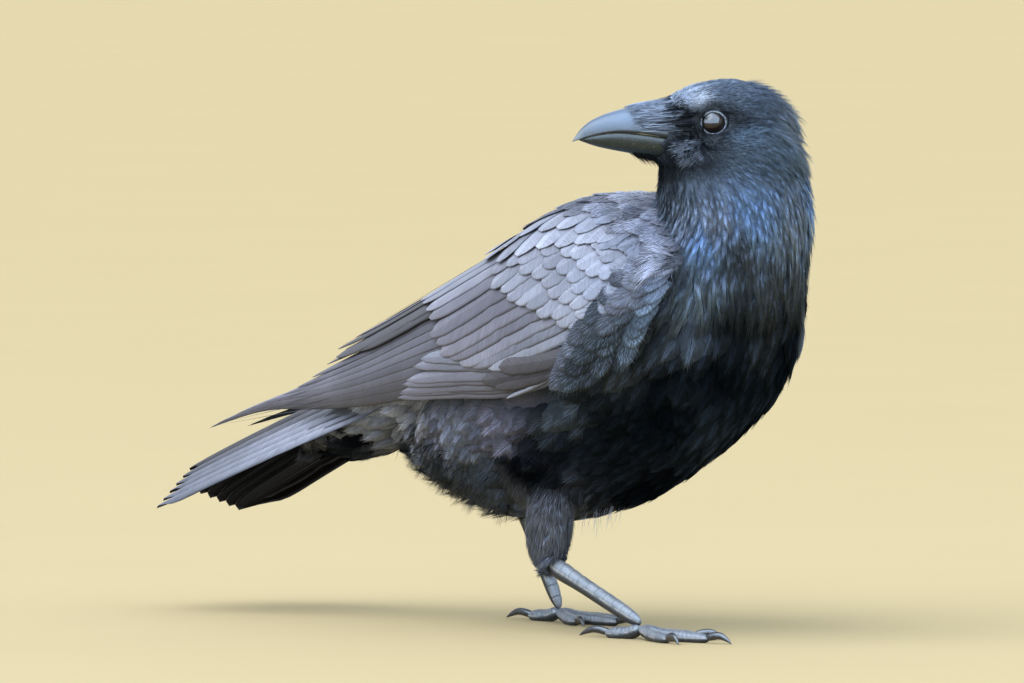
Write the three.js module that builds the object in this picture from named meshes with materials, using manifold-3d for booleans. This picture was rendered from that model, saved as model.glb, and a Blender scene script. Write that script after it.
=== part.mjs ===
// A life-size carrion crow, standing in mid-step with its head turned back over its right shoulder.
// Millimetres. +X is the way the body faces, +Y its left, +Z up. The origin is on the floor, under
// the middle of the whole bird's box.

import * as THREE from "three";
import { mergeVertices } from "three/addons/utils/BufferGeometryUtils.js";
import Module from "manifold-3d";

const wasm = await Module();
wasm.setup();

const degree = Math.PI / 180;
const gap = 0.3; // air between two pieces that touch
const right = -1; // the side of the body, as the sign of Y
const left = 1;

// ---------------------------------------------------------------- driving dimensions

// The trunk in its plumage: an egg whose axis rises towards the breast. up, down and wide are
// measured from that axis.
const trunk = {
  origin: new THREE.Vector3(20, 0, 118),
  yaw: 0,
  pitch: 22 * degree,
  blunt: [6, 4.5],
  stations: [
    { at: -120, up: 18, down: 16, wide: 14 },
    { at: -96, up: 28, down: 31, wide: 28 },
    { at: -65, up: 40, down: 50.5, wide: 42 },
    { at: -25, up: 55, down: 64.5, wide: 53 },
    { at: 15, up: 68, down: 64, wide: 58 },
    { at: 50, up: 68, down: 59, wide: 60 },
    { at: 85, up: 58, down: 49, wide: 58 },
    { at: 116, up: 34, down: 32, wide: 47 },
  ],
};

// The neck leaves the top of the breast and stands nearly upright.
const neck = {
  points: [
    [84, 0, 140],
    [97, 0, 170],
    [105, 0, 192],
    [103.5, -3.5, 210],
    [99, -6, 232],
  ],
  radii: [50, 41, 36, 35.5, 28],
};

// The head looks back past the right shoulder. Its frame starts midway between the eyes.
const head = {
  origin: new THREE.Vector3(97.5, -11.4, 232.5),
  yaw: -123 * degree,
  pitch: 0,
  blunt: [2.6, 5],
  axisDrop: 3,
  stations: [
    { at: -44, up: 11, down: 18, wide: 14 },
    { at: -35, up: 16, down: 20, wide: 18.5 },
    { at: -24, up: 20.5, down: 20, wide: 21.5 },
    { at: -12, up: 22.5, down: 19, wide: 21.5 },
    { at: 2, up: 21, down: 17.5, wide: 18.3 },
    { at: 11, up: 18.5, down: 16.5, wide: 15 },
    { at: 20, up: 14.5, down: 19.5, wide: 11.5 },
    { at: 30, up: 12, down: 24, wide: 9.5 },
  ],
};
const eye = { radius: 6.5, out: 14.2 };

// The bill, in the head's frame: the ridge, the line where the halves meet, and the keel below.
const bill = {
  back: 6,
  upperTip: 62,
  lowerTip: 59,
  ridge: [
    { at: 6, z: 9.5, wide: 10 },
    { at: 20, z: 9.2, wide: 8.8 },
    { at: 31, z: 7.6, wide: 7.4 },
    { at: 41, z: 5.4, wide: 6 },
    { at: 49, z: 2.9, wide: 4.7 },
    { at: 55, z: 0, wide: 3.3 },
    { at: 59.5, z: -3.6, wide: 1.9 },
    { at: 62, z: -6.8, wide: 0.8 },
  ],
  meeting: [
    { at: 6, z: -9.4 },
    { at: 22, z: -6.5 },
    { at: 33, z: -4.9 },
    { at: 44, z: -4.3 },
    { at: 53, z: -5.8 },
    { at: 62, z: -8.6 },
  ],
  keel: [
    { at: 6, z: -18.5, wide: 9 },
    { at: 25, z: -15.6, wide: 7.2 },
    { at: 40, z: -13, wide: 5.2 },
    { at: 50, z: -11, wide: 3.7 },
    { at: 59, z: -8.9, wide: 1.6 },
  ],
  bristles: { back: 12, front: 37, thick: 1.5 },
};

// Both folded wings lie on one tapering tunnel round the body, from their bends to the wing tips.
// mid is its middle's height; wide and tall are its half sizes. A place on it is an x and a turn,
// the degrees up from the body's side.
const tunnel = [
  { at: -222, mid: 79, wide: 12, tall: 6 },
  { at: -160, mid: 96, wide: 23, tall: 15 },
  { at: -120, mid: 101, wide: 33, tall: 27 },
  { at: -86, mid: 106, wide: 42, tall: 36.5 },
  { at: -49, mid: 113, wide: 51, tall: 47 },
  { at: -12, mid: 120, wide: 59, tall: 58 },
  { at: 24, mid: 126, wide: 63, tall: 69 },
  { at: 66, mid: 135, wide: 62, tall: 60 },
  { at: 100, mid: 145, wide: 54, tall: 43 },
  { at: 118, mid: 150, wide: 44, tall: 30 },
];

// The arm under its small and middle coverts: its lower and upper edges, from rear to front.
const arm = {
  thick: 4.6,
  edges: [
    { at: 8, low: -6, high: 78 },
    { at: 40, low: -9, high: 74 },
    { at: 62, low: -6, high: 68 },
    { at: 80, low: 5, high: 60 },
    { at: 90, low: 18, high: 52 },
    { at: 96, low: 30, high: 42 },
  ],
};

// The thumb feathers and the coverts of the primaries, under the arm.
const hand = {
  thick: 2,
  edges: [
    { at: -56, low: -9, high: -7 },
    { at: -40, low: -12.5, high: -6 },
    { at: 0, low: -14.5, high: -6.5 },
    { at: 36, low: -16, high: -10.5 },
    { at: 58, low: -13, high: -10 },
  ],
};

// The long feathers of each wing: where their tips lie for each turn, and how deep their sheet is.
const secondaries = {
  front: 7.6,
  root: { low: -4, high: 78 },
  tip: { low: -3, high: 80 },
  feathers: 8,
  depth: 0,
  thick: [1.8, 1],
  ends: [
    { at: -3, x: 3 },
    { at: 8, x: -26 },
    { at: 28, x: -44 },
    { at: 45, x: -100 },
    { at: 80, x: -117 },
  ],
};
const primaries = {
  front: 7.6,
  root: { low: -8, high: 60 },
  tip: { low: -6, high: 62 },
  feathers: 8,
  depth: 2.6,
  thick: [1.8, 1.2],
  ends: [
    { at: -6, x: -206 },
    { at: 2, x: -198 },
    { at: 10, x: -157 },
    { at: 26, x: -131 },
    { at: 62, x: -106 },
  ],
};

// The hollow that the body leaves for a wing.
const bed = {
  depth: 5.5,
  height: 12,
  edges: [
    { at: -211, low: -20, high: 84 },
    { at: -124, low: -12, high: 84 },
    { at: -56, low: -13, high: 83 },
    { at: 0, low: -16, high: 81 },
    { at: 40, low: -17.5, high: 77 },
    { at: 60, low: -15.5, high: 71 },
    { at: 81, low: 1, high: 62 },
    { at: 98, low: 27, high: 44 },
  ],
};

// The tail: twelve long feathers in two stacks, the middle pair on top.
const tail = {
  root: new THREE.Vector3(-62, 0, 129.5),
  pitch: 21 * degree,
  length: 176,
  pairs: 6,
  spread: 1.55 * degree,
  halfWidth: 13.5,
  droop: 4 * degree,
  layer: 3.1,
  camber: 2,
  bend: 3,
  thick: 0.7,
};
const tailCoverts = {
  origin: new THREE.Vector3(-100, 0, 97),
  yaw: 0,
  pitch: 20 * degree,
  blunt: [3, 4],
  stations: [
    { at: -62, up: 4, down: 6, wide: 15 },
    { at: -30, up: 14, down: 20, wide: 25 },
    { at: -8, up: 18, down: 21, wide: 29 },
    { at: 15, up: 20, down: 23, wide: 32 },
    { at: 45, up: 20, down: 25, wide: 34 },
  ],
};

// The legs. The right one has stepped forward and bends low, the left one is straighter behind.
const legs = {
  [right]: {
    name: "right",
    thigh: { top: [20, -28, 74], low: [18, -29, 25.5], thick: [14, 14, 11] },
    ankle: [18, -29, 32.5],
    ball: [74.5, -29, 7.2],
    turn: 4 * degree,
  },
  [left]: {
    name: "left",
    thigh: { top: [-24, 27, 84], low: [-52, 28, 56], thick: [13, 12, 9] },
    ankle: [-52.5, 28, 61],
    ball: [-25.4, 28, 6.2],
    turn: -4 * degree,
  },
};
const shank = { deep: 4, wide: 3 };
const toes = [
  { name: "middle", turn: 0, length: 39, claw: 12, thick: 2.9 },
  { name: "inner", turn: 27 * degree, length: 27, claw: 11, thick: 2.7 },
  { name: "outer", turn: -27 * degree, length: 29, claw: 10, thick: 2.7 },
  { name: "hind", turn: 180 * degree, length: 20, claw: 15, thick: 3 },
];
const pad = 2; // height of a toe's axis above the floor, less than its radius, so it has a flat

// ---------------------------------------------------------------- shape helpers

// A smooth value through stations that are sorted by their place "at".
function smooth(stations, field, at) {
  const last = stations.length - 1;
  const place = THREE.MathUtils.clamp(at, stations[0].at, stations[last].at);
  let i = 0;
  while (i < last - 1 && place > stations[i + 1].at) i++;
  const slope = (k) => {
    const before = stations[Math.max(k - 1, 0)];
    const after = stations[Math.min(k + 1, last)];
    return (after[field] - before[field]) / (after.at - before.at);
  };
  const span = stations[i + 1].at - stations[i].at;
  const t = (place - stations[i].at) / span;
  const rise = t * t * (3 - 2 * t);
  const lead = t * (1 - t) * (1 - t) * span * slope(i);
  const trail = t * t * (1 - t) * span * slope(i + 1);
  return THREE.MathUtils.lerp(stations[i][field], stations[i + 1][field], rise) + lead - trail;
}

const mix = THREE.MathUtils.lerp;
const level = 1e-6; // the sine of an angle that counts as flat

// A geometry whose vertices are moved by place(vertex index), as one solid.
function solidOf(geometry, place) {
  const position = geometry.attributes.position;
  for (let i = 0; i < position.count; i++) {
    const point = place(i, position);
    position.setXYZ(i, point.x, point.y, point.z);
  }
  geometry.deleteAttribute("normal");
  geometry.deleteAttribute("uv");
  const merged = mergeVertices(geometry, 1e-3);
  const build = (triVerts) =>
    new wasm.Manifold(
      new wasm.Mesh({
        numProp: 3,
        vertProperties: merged.attributes.position.array,
        triVerts,
      }),
    );
  const triVerts = new Uint32Array(merged.index.array);
  const made = build(triVerts);
  return made.volume() > 0 ? made : build(triVerts.reverse());
}

// A closed rounded solid: place(along, angle) puts each ring's points, along going from 0 to 1.
function ball(sides, rings, place) {
  const geometry = new THREE.SphereGeometry(1, sides, rings);
  const uv = geometry.attributes.uv;
  return solidOf(geometry, (i) => {
    const along = (1 - Math.cos(Math.PI * uv.getY(i))) / 2;
    return place(along, 2 * Math.PI * uv.getX(i));
  });
}

// A closed curved plate: place(along, across, through), each from 0 to 1.
function plate(lengthwise, crosswise, place) {
  const geometry = new THREE.BoxGeometry(1, 1, 1, lengthwise, crosswise, 1);
  return solidOf(geometry, (i, p) =>
    place(p.getX(i) + 0.5, p.getY(i) + 0.5, p.getZ(i) + 0.5),
  );
}

// How far a rounded end has closed: 0 at both ends and 1 between, flatter the blunter it is.
function closing(along, [rear, front]) {
  const q = 2 * along - 1;
  const power = q < 0 ? rear : front;
  return Math.sqrt(Math.max(0, 1 - Math.abs(q) ** power));
}

// A surface's growth outwards, which fades where a rounded end comes to its point.
const swell = (grow, shut) => grow * Math.min(1, 4 * shut);

function frameOf({ origin, yaw, pitch }) {
  return new THREE.Matrix4()
    .makeTranslation(origin)
    .multiply(new THREE.Matrix4().makeRotationZ(yaw))
    .multiply(new THREE.Matrix4().makeRotationY(-pitch));
}

// An egg-like solid along its own X axis, through its stations.
function egg(shape, sides, rings, grow = 0) {
  const frame = frameOf(shape);
  const { stations, blunt, axisDrop = 0 } = shape;
  const rear = stations[0].at;
  const front = stations[stations.length - 1].at;
  return ball(sides, rings, (along, angle) => {
    const at = mix(rear, front, along);
    const shut = closing(along, blunt);
    const tall = smooth(stations, Math.sin(angle) > 0 ? "up" : "down", at);
    const wide = smooth(stations, "wide", at);
    return new THREE.Vector3(
      at + grow * (2 * along - 1),
      (wide * shut + swell(grow, shut)) * Math.cos(angle),
      (tall * shut + swell(grow, shut)) * Math.sin(angle) - axisDrop,
    ).applyMatrix4(frame);
  });
}

// A rounded tube along a smooth line. flat squeezes it along "side", twist turns its corners, and
// nothing of it goes below floor.
function tube(points, radii, sides, rings, options = {}) {
  const { flat = 1, side, twist = 0, blunt = [8, 8], floor, grow = 0 } = options;
  const line = new THREE.CatmullRomCurve3(points.map((p) => new THREE.Vector3(...p)));
  const sizes = radii.map((r, i) => ({ at: i / (radii.length - 1), r }));
  return ball(sides, rings, (along, angle) => {
    const tangent = line.getTangent(along);
    const across = (side || new THREE.Vector3(0, 1, 0)).clone();
    across.addScaledVector(tangent, -across.dot(tangent)).normalize();
    const upward = new THREE.Vector3().crossVectors(tangent, across);
    const shut = closing(along, blunt);
    const radius = smooth(sizes, "r", along) * shut + swell(grow, shut);
    const point = line
      .getPoint(along)
      .addScaledVector(across, radius * flat * Math.cos(angle + twist))
      .addScaledVector(upward, radius * Math.sin(angle + twist));
    if (floor !== undefined) point.z = Math.max(point.z, floor);
    return point;
  });
}

// ---------------------------------------------------------------- head and bill

// One half of the bill: its outer profile and the flat face where the halves meet.
function billHalf(outer, tip, facing, grow = 0) {
  const frame = frameOf(head);
  return ball(16, 10, (along, angle) => {
    const at = mix(bill.back, tip, along ** 0.9);
    const shut = closing(along, [14, 7]);
    const edge = smooth(bill.meeting, "z", at) + (facing * gap) / 2;
    const more = swell(grow, shut);
    const depth = (smooth(outer, "z", at) - edge) * shut + facing * more;
    const wide = smooth(outer, "wide", at) * shut + more;
    const rise = Math.sin(angle);
    return new THREE.Vector3(
      at + grow * (2 * along - 1),
      wide * Math.cos(angle),
      edge + (rise > level ? depth * rise ** 0.9 : -facing * more),
    ).applyMatrix4(frame);
  });
}

const upperBill = (grow) => billHalf(bill.ridge, bill.upperTip, 1, grow);
const lowerBill = (grow) => billHalf(bill.keel, bill.lowerTip, -1, grow);

// The stiff forward-lying bristles that cover the nostrils, as one thin saddle over the bill.
function nasalBristles() {
  const { back, front, thick } = bill.bristles;
  const frame = frameOf(head);
  return ball(12, 5, (along, angle) => {
    const at = mix(back, front, along);
    const shut = closing(along, [6, 3]);
    const low = smooth(bill.meeting, "z", at) + 3;
    const high = smooth(bill.ridge, "z", at) + thick * shut;
    const wide = smooth(bill.ridge, "wide", at) + thick * shut;
    const rise = Math.sin(angle);
    return new THREE.Vector3(
      at,
      wide * shut ** 0.3 * Math.cos(angle),
      rise > level ? low + (high - low) * rise * shut ** 0.3 : low,
    ).applyMatrix4(frame);
  });
}

function eyeball(side, grow = 0) {
  const centre = new THREE.Vector3(0, side * eye.out, 0).applyMatrix4(frameOf(head));
  return ball(12, 7, (along, angle) => {
    const r = eye.radius + grow;
    const ring = 2 * Math.sqrt(along * (1 - along)) * r;
    return new THREE.Vector3(
      centre.x + ring * Math.cos(angle),
      centre.y + ring * Math.sin(angle),
      centre.z + (2 * along - 1) * r,
    );
  });
}

// ---------------------------------------------------------------- wings

// A point on the wings' tunnel: x along the body, turn in degrees up from the side.
function onTunnel(side, x, turn, out) {
  const a = turn * degree;
  return new THREE.Vector3(
    x,
    side * (smooth(tunnel, "wide", x) + out) * Math.cos(a),
    smooth(tunnel, "mid", x) + (smooth(tunnel, "tall", x) + out) * Math.sin(a),
  );
}

// A plate on the tunnel between the edges of its stations, divided more finely towards the front.
function panel(side, edges, lengthwise, crosswise, [inner, outer]) {
  const rear = edges[0].at;
  const front = edges[edges.length - 1].at;
  return plate(lengthwise, crosswise, (along, across, through) => {
    const x = mix(rear, front, 1 - (1 - along) ** 1.5);
    const turn = mix(smooth(edges, "low", x), smooth(edges, "high", x), across);
    return onTunnel(side, x, turn, mix(inner, outer, through));
  });
}

const wingArm = (side) => panel(side, arm.edges, 8, 6, [-arm.thick, 0]);
const wingHand = (side) => panel(side, hand.edges, 7, 1, [-hand.thick, 0]);
const wingBed = (side) => panel(side, bed.edges, 10, 5, [-bed.depth, bed.height]);

// A fan of long folded feathers as one sheet, whose rear edge steps from tip to tip.
function feathers(side, { front, root, tip, feathers: count, depth, thick, ends }) {
  const end = (k) => smooth(ends, "x", mix(tip.low, tip.high, k / count));
  return plate(3, 2 * count, (along, across, through) => {
    const k = Math.min(Math.floor(across * count + level), count - 1);
    const step = (across * count - k) ** 3;
    const x = mix(front, mix(end(k), end(k + 1), step), along);
    const start = mix(root.low, root.high, across);
    const turn = mix(start, mix(tip.low, tip.high, across), along * along);
    const out = -depth - (1 - through) * mix(thick[0], thick[1], along);
    return onTunnel(side, x, turn, out);
  });
}

// ---------------------------------------------------------------- tail

// One tail feather. Pair 0 is the middle one; side says which half of the tail it is in.
function tailFeather(side, pair) {
  const { root, pitch, length, spread, halfWidth, droop, layer, camber, bend, thick } = tail;
  const frame = new THREE.Matrix4()
    .makeTranslation(root)
    .multiply(new THREE.Matrix4().makeRotationY(-pitch));
  const fanned = spread * (pair + 0.45);
  return plate(4, 2, (along, across, through) => {
    const share = Math.sin((along * Math.PI) / 2);
    const far = length * share;
    const half = halfWidth * (0.62 + 0.38 * share) * Math.sqrt(1 - share ** 8 * 0.92);
    const sideways = (2 * across - 1) * half + halfWidth * 0.25;
    const out = 1.6 * pair + far * Math.sin(fanned) + sideways * Math.cos(fanned);
    const stacked = layer * pair + thick + camber * across * across + bend * share ** 4;
    const low = -stacked - Math.max(0, out) * Math.tan(droop);
    return new THREE.Vector3(
      -far * Math.cos(fanned) + sideways * Math.sin(fanned),
      side * out,
      low + thick * through,
    ).applyMatrix4(frame);
  });
}

// Everything on one side of the middle plane, so that the two stacks don't cross it.
function halfSpace(side) {
  const box = new THREE.BoxGeometry(900, 400, 900);
  return solidOf(box, (i, p) =>
    new THREE.Vector3(p.getX(i), p.getY(i) + side * (200 + gap / 2), p.getZ(i)),
  );
}

// ---------------------------------------------------------------- legs

function thigh({ thigh: { top, low, thick } }, grow = 0) {
  const middle = top.map((v, i) => mix(v, low[i], 0.55));
  return tube([top, middle, low], thick, 12, 8, { flat: 0.85, blunt: [4, 6], grow });
}

function tarsus({ ankle, ball: foot }, grow = 0) {
  const middle = ankle.map((v, i) => mix(v, foot[i], 0.5));
  const { deep, wide } = shank;
  const radii = [deep * 1.3, deep * 0.95, deep];
  return tube([ankle, middle, foot], radii, 10, 8, { flat: wide / deep, blunt: [5, 4], grow });
}

// A toe's way out from the ball of its foot. The inner toe turns towards the other leg.
function toeLine(side, toe) {
  const turn = legs[side].turn - side * toe.turn;
  const heading = new THREE.Vector3(Math.cos(turn), Math.sin(turn), 0);
  const start = new THREE.Vector3(...legs[side].ball);
  const at = (far, z) => start.clone().addScaledVector(heading, far).setZ(z).toArray();
  return { at, across: new THREE.Vector3(-heading.y, heading.x, 0) };
}

function toeSolid(side, toe, grow = 0) {
  const { at, across } = toeLine(side, toe);
  const { length, thick } = toe;
  const points = [at(0, 5), at(length * 0.3, pad + 0.9), at(length * 0.65, pad), at(length, pad)];
  const radii = [thick * 1.05, thick * 0.95, thick * 1.02, thick * 0.86];
  const twist = Math.PI / 8;
  return tube(points, radii, 8, 7, { side: across, twist, blunt: [6, 4], floor: -grow, grow });
}

function claw(side, toe) {
  const { at, across } = toeLine(side, toe);
  const { length, claw: long } = toe;
  const points = [
    at(length - 3, pad + 0.3),
    at(length + long * 0.35, pad + 1.6),
    at(length + long * 0.75, pad + 0.2),
    at(length + long, 0.35),
  ];
  return tube(points, [2, 1.7, 1.1, 0.45], 6, 5, { side: across, flat: 0.75, blunt: [6, 8], floor: 0 });
}

// ---------------------------------------------------------------- assembly

const colours = {
  plumage: { color: 0x1c1e24, roughness: 0.6 },
  wing: { color: 0x3a3a42, roughness: 0.5 },
  bill: { color: 0x22262b, roughness: 0.35 },
  eye: { color: 0x120c0a, roughness: 0.08 },
  scale: { color: 0x1b1e22, roughness: 0.5 },
  claw: { color: 0x0c0c0e, roughness: 0.3 },
};

const crow = new THREE.Group();

// Adds a solid to the bird as a named mesh. A cut may leave crumbs, so the largest body is kept.
function add(name, kind, solid) {
  const bodies = solid.decompose().sort((a, b) => b.volume() - a.volume());
  const { vertProperties, triVerts } = bodies[0].getMesh();
  const geometry = new THREE.BufferGeometry()
    .setAttribute("position", new THREE.BufferAttribute(new Float32Array(vertProperties), 3))
    .setIndex(new THREE.BufferAttribute(new Uint32Array(triVerts), 1));
  const material = new THREE.MeshStandardMaterial({ ...colours[kind], metalness: 0 });
  const mesh = new THREE.Mesh(geometry, material);
  mesh.name = name;
  crow.add(mesh);
}

const without = (solid, ...cutters) => cutters.reduce((rest, cutter) => rest.subtract(cutter), solid);

const headBody = (grow) => egg(head, 16, 11, grow);
const neckBody = (grow) => tube(neck.points, neck.radii, 20, 8, { blunt: [6, 10], grow });
const trunkBody = (grow) => egg(trunk, 20, 15, grow);
const tailRoot = (grow) => egg(tailCoverts, 16, 8, grow);
const eyeSockets = [eyeball(right, gap), eyeball(left, gap)];
const billRoot = upperBill(gap).add(lowerBill(gap));
const bristles = without(nasalBristles(), billRoot);

add("bill_upper", "bill", upperBill(0));
add("bill_lower", "bill", lowerBill(0));
add("eye_right", "eye", eyeball(right));
add("eye_left", "eye", eyeball(left));
add("head", "plumage", without(headBody(0), billRoot, ...eyeSockets));
add("nasal_bristles", "plumage", without(bristles, headBody(gap)));
for (const side of [right, left]) {
  const name = legs[side].name;
  add(`wing_${name}_coverts`, "wing", without(wingArm(side), neckBody(gap)));
  add(`wing_${name}_secondaries`, "wing", feathers(side, secondaries));
  add(`wing_${name}_primary_coverts`, "wing", wingHand(side));
  add(`wing_${name}_primaries`, "wing", feathers(side, primaries));
}

const thighCuts = [];
for (const side of [right, left]) {
  const leg = legs[side];
  const shin = tarsus(leg, gap);
  add(`thigh_${leg.name}`, "plumage", without(thigh(leg), shin));
  thighCuts.push(thigh(leg, gap), shin);
  let ankleDown = tarsus(leg);
  for (const [i, toe] of toes.entries()) {
    const nearer = toes.slice(0, i).map((t) => toeSolid(side, t, gap));
    ankleDown = ankleDown.subtract(toeSolid(side, toe, gap));
    add(`toe_${leg.name}_${toe.name}`, "scale", without(toeSolid(side, toe), ...nearer));
    add(`claw_${leg.name}_${toe.name}`, "claw", without(claw(side, toe), toeSolid(side, toe, gap)));
  }
  add(`tarsus_${leg.name}`, "scale", ankleDown);
}

const beds = [wingBed(right), wingBed(left)];
add("neck", "plumage", without(neckBody(0), headBody(gap), trunkBody(gap), billRoot, ...eyeSockets));
add("trunk", "plumage", without(trunkBody(0), ...beds, ...thighCuts));
add("tail_coverts", "plumage", without(tailRoot(0), trunkBody(gap), ...beds));
for (const side of [right, left])
  for (let pair = 0; pair < tail.pairs; pair++)
    add(
      `tail_feather_${legs[side].name}_${pair + 1}`,
      "wing",
      without(
        tailFeather(side, pair).intersect(halfSpace(side)),
        tailRoot(gap),
        trunkBody(gap),
        ...beds,
      ),
    );

const box = new THREE.Box3().setFromObject(crow);
const middle = box.getCenter(new THREE.Vector3());
crow.position.set(-middle.x, -middle.y, -box.min.z);

export default crow;
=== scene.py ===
import math

import bmesh
import bpy
import numpy as np
from mathutils import Matrix, Vector
from mathutils.bvhtree import BVHTree


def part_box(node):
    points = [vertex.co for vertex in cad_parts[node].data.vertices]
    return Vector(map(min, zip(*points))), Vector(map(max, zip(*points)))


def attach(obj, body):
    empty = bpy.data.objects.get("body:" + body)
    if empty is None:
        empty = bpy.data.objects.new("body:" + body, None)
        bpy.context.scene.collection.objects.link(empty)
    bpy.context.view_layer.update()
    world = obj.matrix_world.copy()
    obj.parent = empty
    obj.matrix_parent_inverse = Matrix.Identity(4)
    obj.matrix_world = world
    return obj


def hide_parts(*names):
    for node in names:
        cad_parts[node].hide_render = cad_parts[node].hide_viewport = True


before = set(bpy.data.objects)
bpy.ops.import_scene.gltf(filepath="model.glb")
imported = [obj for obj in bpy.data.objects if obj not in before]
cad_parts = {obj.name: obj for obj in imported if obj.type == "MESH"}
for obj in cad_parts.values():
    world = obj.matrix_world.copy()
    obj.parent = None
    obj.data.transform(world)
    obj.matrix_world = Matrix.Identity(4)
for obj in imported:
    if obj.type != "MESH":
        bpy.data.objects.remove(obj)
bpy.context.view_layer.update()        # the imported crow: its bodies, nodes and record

# A carrion crow at life size. Sizes are in millimetres in the crow's own directions: x the way its
# body faces, y its left, z up from the floor. The head has directions of its own.
mm = 0.001


def middleOf(node):
    low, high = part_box(node)
    return (low + high) / 2


eyeMiddles = {side: middleOf("eye_" + side) for side in ("right", "left")}
headMiddle = (eyeMiddles["left"] + eyeMiddles["right"]) / 2
headLeft = (eyeMiddles["left"] - eyeMiddles["right"]).normalized()
headUp = Vector((0, 0, 1))
headFront = headLeft.cross(headUp)
eyeAhead = 1.2       # the eyeballs sit this far ahead of the plain ones
for middle in eyeMiddles.values():
    middle += headFront * eyeAhead * mm
crowZero = headMiddle - Vector((97.5, -11.4, 232.5)) * mm      # the floor under the crow's origin
sideSigns = {"right": -1, "left": 1}


def crowPoint(x, y, z):
    return crowZero + Vector((x, y, z)) * mm


def headWay(x, y, z):
    return headFront * x + headLeft * y + headUp * z


def headPoint(x, y, z):
    return headMiddle + headWay(x, y, z) * mm


# Values through named stations, and small shape formulas

def smoothThrough(stations, column, at):
    places = np.array([row[0] for row in stations], float)
    values = np.array([row[column] for row in stations], float)
    slopes = np.gradient(values, places)
    at = np.clip(at, places[0], places[-1])
    i = np.clip(np.searchsorted(places, at, "right") - 1, 0, len(places) - 2)
    span = places[i + 1] - places[i]
    t = (at - places[i]) / span
    rise = t * t * (3 - 2 * t)
    lead = t * (1 - t) ** 2 * span * slopes[i]
    trail = t * t * (1 - t) * span * slopes[i + 1]
    return values[i] * (1 - rise) + values[i + 1] * rise + lead - trail


def mix(a, b, t):
    return a + (b - a) * t


def ease(t):
    t = np.clip(t, 0, 1)
    return t * t * (3 - 2 * t)


def unit(vectors):
    return vectors / np.maximum(np.linalg.norm(vectors, axis=-1, keepdims=True), 1e-12)


# Materials

# The crow is black with a gloss; these tones are partly its own colour and partly painted light.
# The paler lavender and blue-grey tones are partly painted sky sheen; brow, sheen, blue and throat
# are painted highlights; belly, darker than black, is partly painted shade under the body.
palette = {                       # plumage tones, linear
    "black": (0.010, 0.014, 0.019),
    "belly": (0.0022, 0.0042, 0.0075),
    "soot": (0.020, 0.026, 0.034),
    "deepSlate": (0.045, 0.058, 0.078),
    "slate": (0.075, 0.100, 0.140),
    "crown": (0.118, 0.180, 0.295),
    "cheek": (0.120, 0.200, 0.320),
    "nape": (0.260, 0.355, 0.530),
    "blueSheen": (0.300, 0.550, 1.080),
    "breast": (0.190, 0.280, 0.430),
    "browSheen": (0.660, 0.780, 0.990),
    "sheen": (0.500, 0.620, 0.860),
    "bristle": (0.235, 0.305, 0.450),
    "throat": (0.330, 0.440, 0.700),
    "dusk": (0.230, 0.268, 0.390),
    "mantle": (0.340, 0.375, 0.500),
    "lavender": (0.275, 0.300, 0.400),
    "fawn": (0.180, 0.180, 0.240),
    "smoke": (0.086, 0.084, 0.100),
    "flank": (0.165, 0.172, 0.262),
    "thigh": (0.165, 0.195, 0.285),
    "white": (0.62, 0.71, 1.0),
}


def newMaterial(name):
    material = bpy.data.materials.new(name)
    material.use_nodes = True
    return material, material.node_tree


def connect(tree, socket, value):
    if isinstance(value, bpy.types.NodeSocket):
        tree.links.new(value, socket)
    else:
        socket.default_value = value


def addNode(tree, kind, inputs=None, **settings):
    node = tree.nodes.new("ShaderNode" + kind)
    for key, value in settings.items():
        setattr(node, key, value)
    for key, value in (inputs or {}).items():
        connect(tree, node.inputs[key], value)
    return node


def calc(tree, operation, a, b=0.0, c=0.0):
    return addNode(tree, "Math", {0: a, 1: b, 2: c}, operation=operation).outputs[0]


def product(tree, first, *others):
    for other in others:
        first = calc(tree, "MULTIPLY", first, other)
    return first


def spread(tree, value, low, high, toLow, toHigh):
    inputs = {"Value": value, "From Min": low, "From Max": high, "To Min": toLow, "To Max": toHigh}
    return addNode(tree, "MapRange", inputs, clamp=True).outputs[0]


def blendColour(tree, share, a, b):
    return addNode(tree, "Mix", {0: share, 6: a, 7: b}, data_type="RGBA").outputs[2]


def scaled(tree, colour, share):
    return addNode(tree, "VectorMath", {0: colour, 3: share}, operation="SCALE").outputs[0]


def combine(tree, *values):
    return addNode(tree, "CombineXYZ", dict(enumerate(values))).outputs[0]


def split(tree, vector):
    return addNode(tree, "SeparateXYZ", {0: vector}).outputs


def attribute(tree, name):
    return addNode(tree, "Attribute", attribute_name=name).outputs


def mapOf(tree, name):
    return split(tree, addNode(tree, "UVMap", uv_map=name).outputs[0])[:2]


def placeOf(tree):
    return addNode(tree, "TexCoord").outputs["Object"]


def noiseOf(tree, coordinates, scale, detail=3.0, roughness=0.55):
    inputs = {"Vector": coordinates, "Scale": scale, "Detail": detail, "Roughness": roughness}
    return addNode(tree, "TexNoise", inputs).outputs["Fac"]


# The shader's values, and its relief where there is one, depth being in millimetres
def finishMaterial(material, values, height=None, strength=0.0, depth=0.0):
    tree = material.node_tree
    if height is not None:
        bump = addNode(tree, "Bump", {"Height": height, "Strength": strength, "Distance": depth * mm})
        values = {**values, "Normal": bump.outputs[0]}
    for key, value in values.items():
        connect(tree, tree.nodes["Principled BSDF"].inputs[key], value)
    return material
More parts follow.
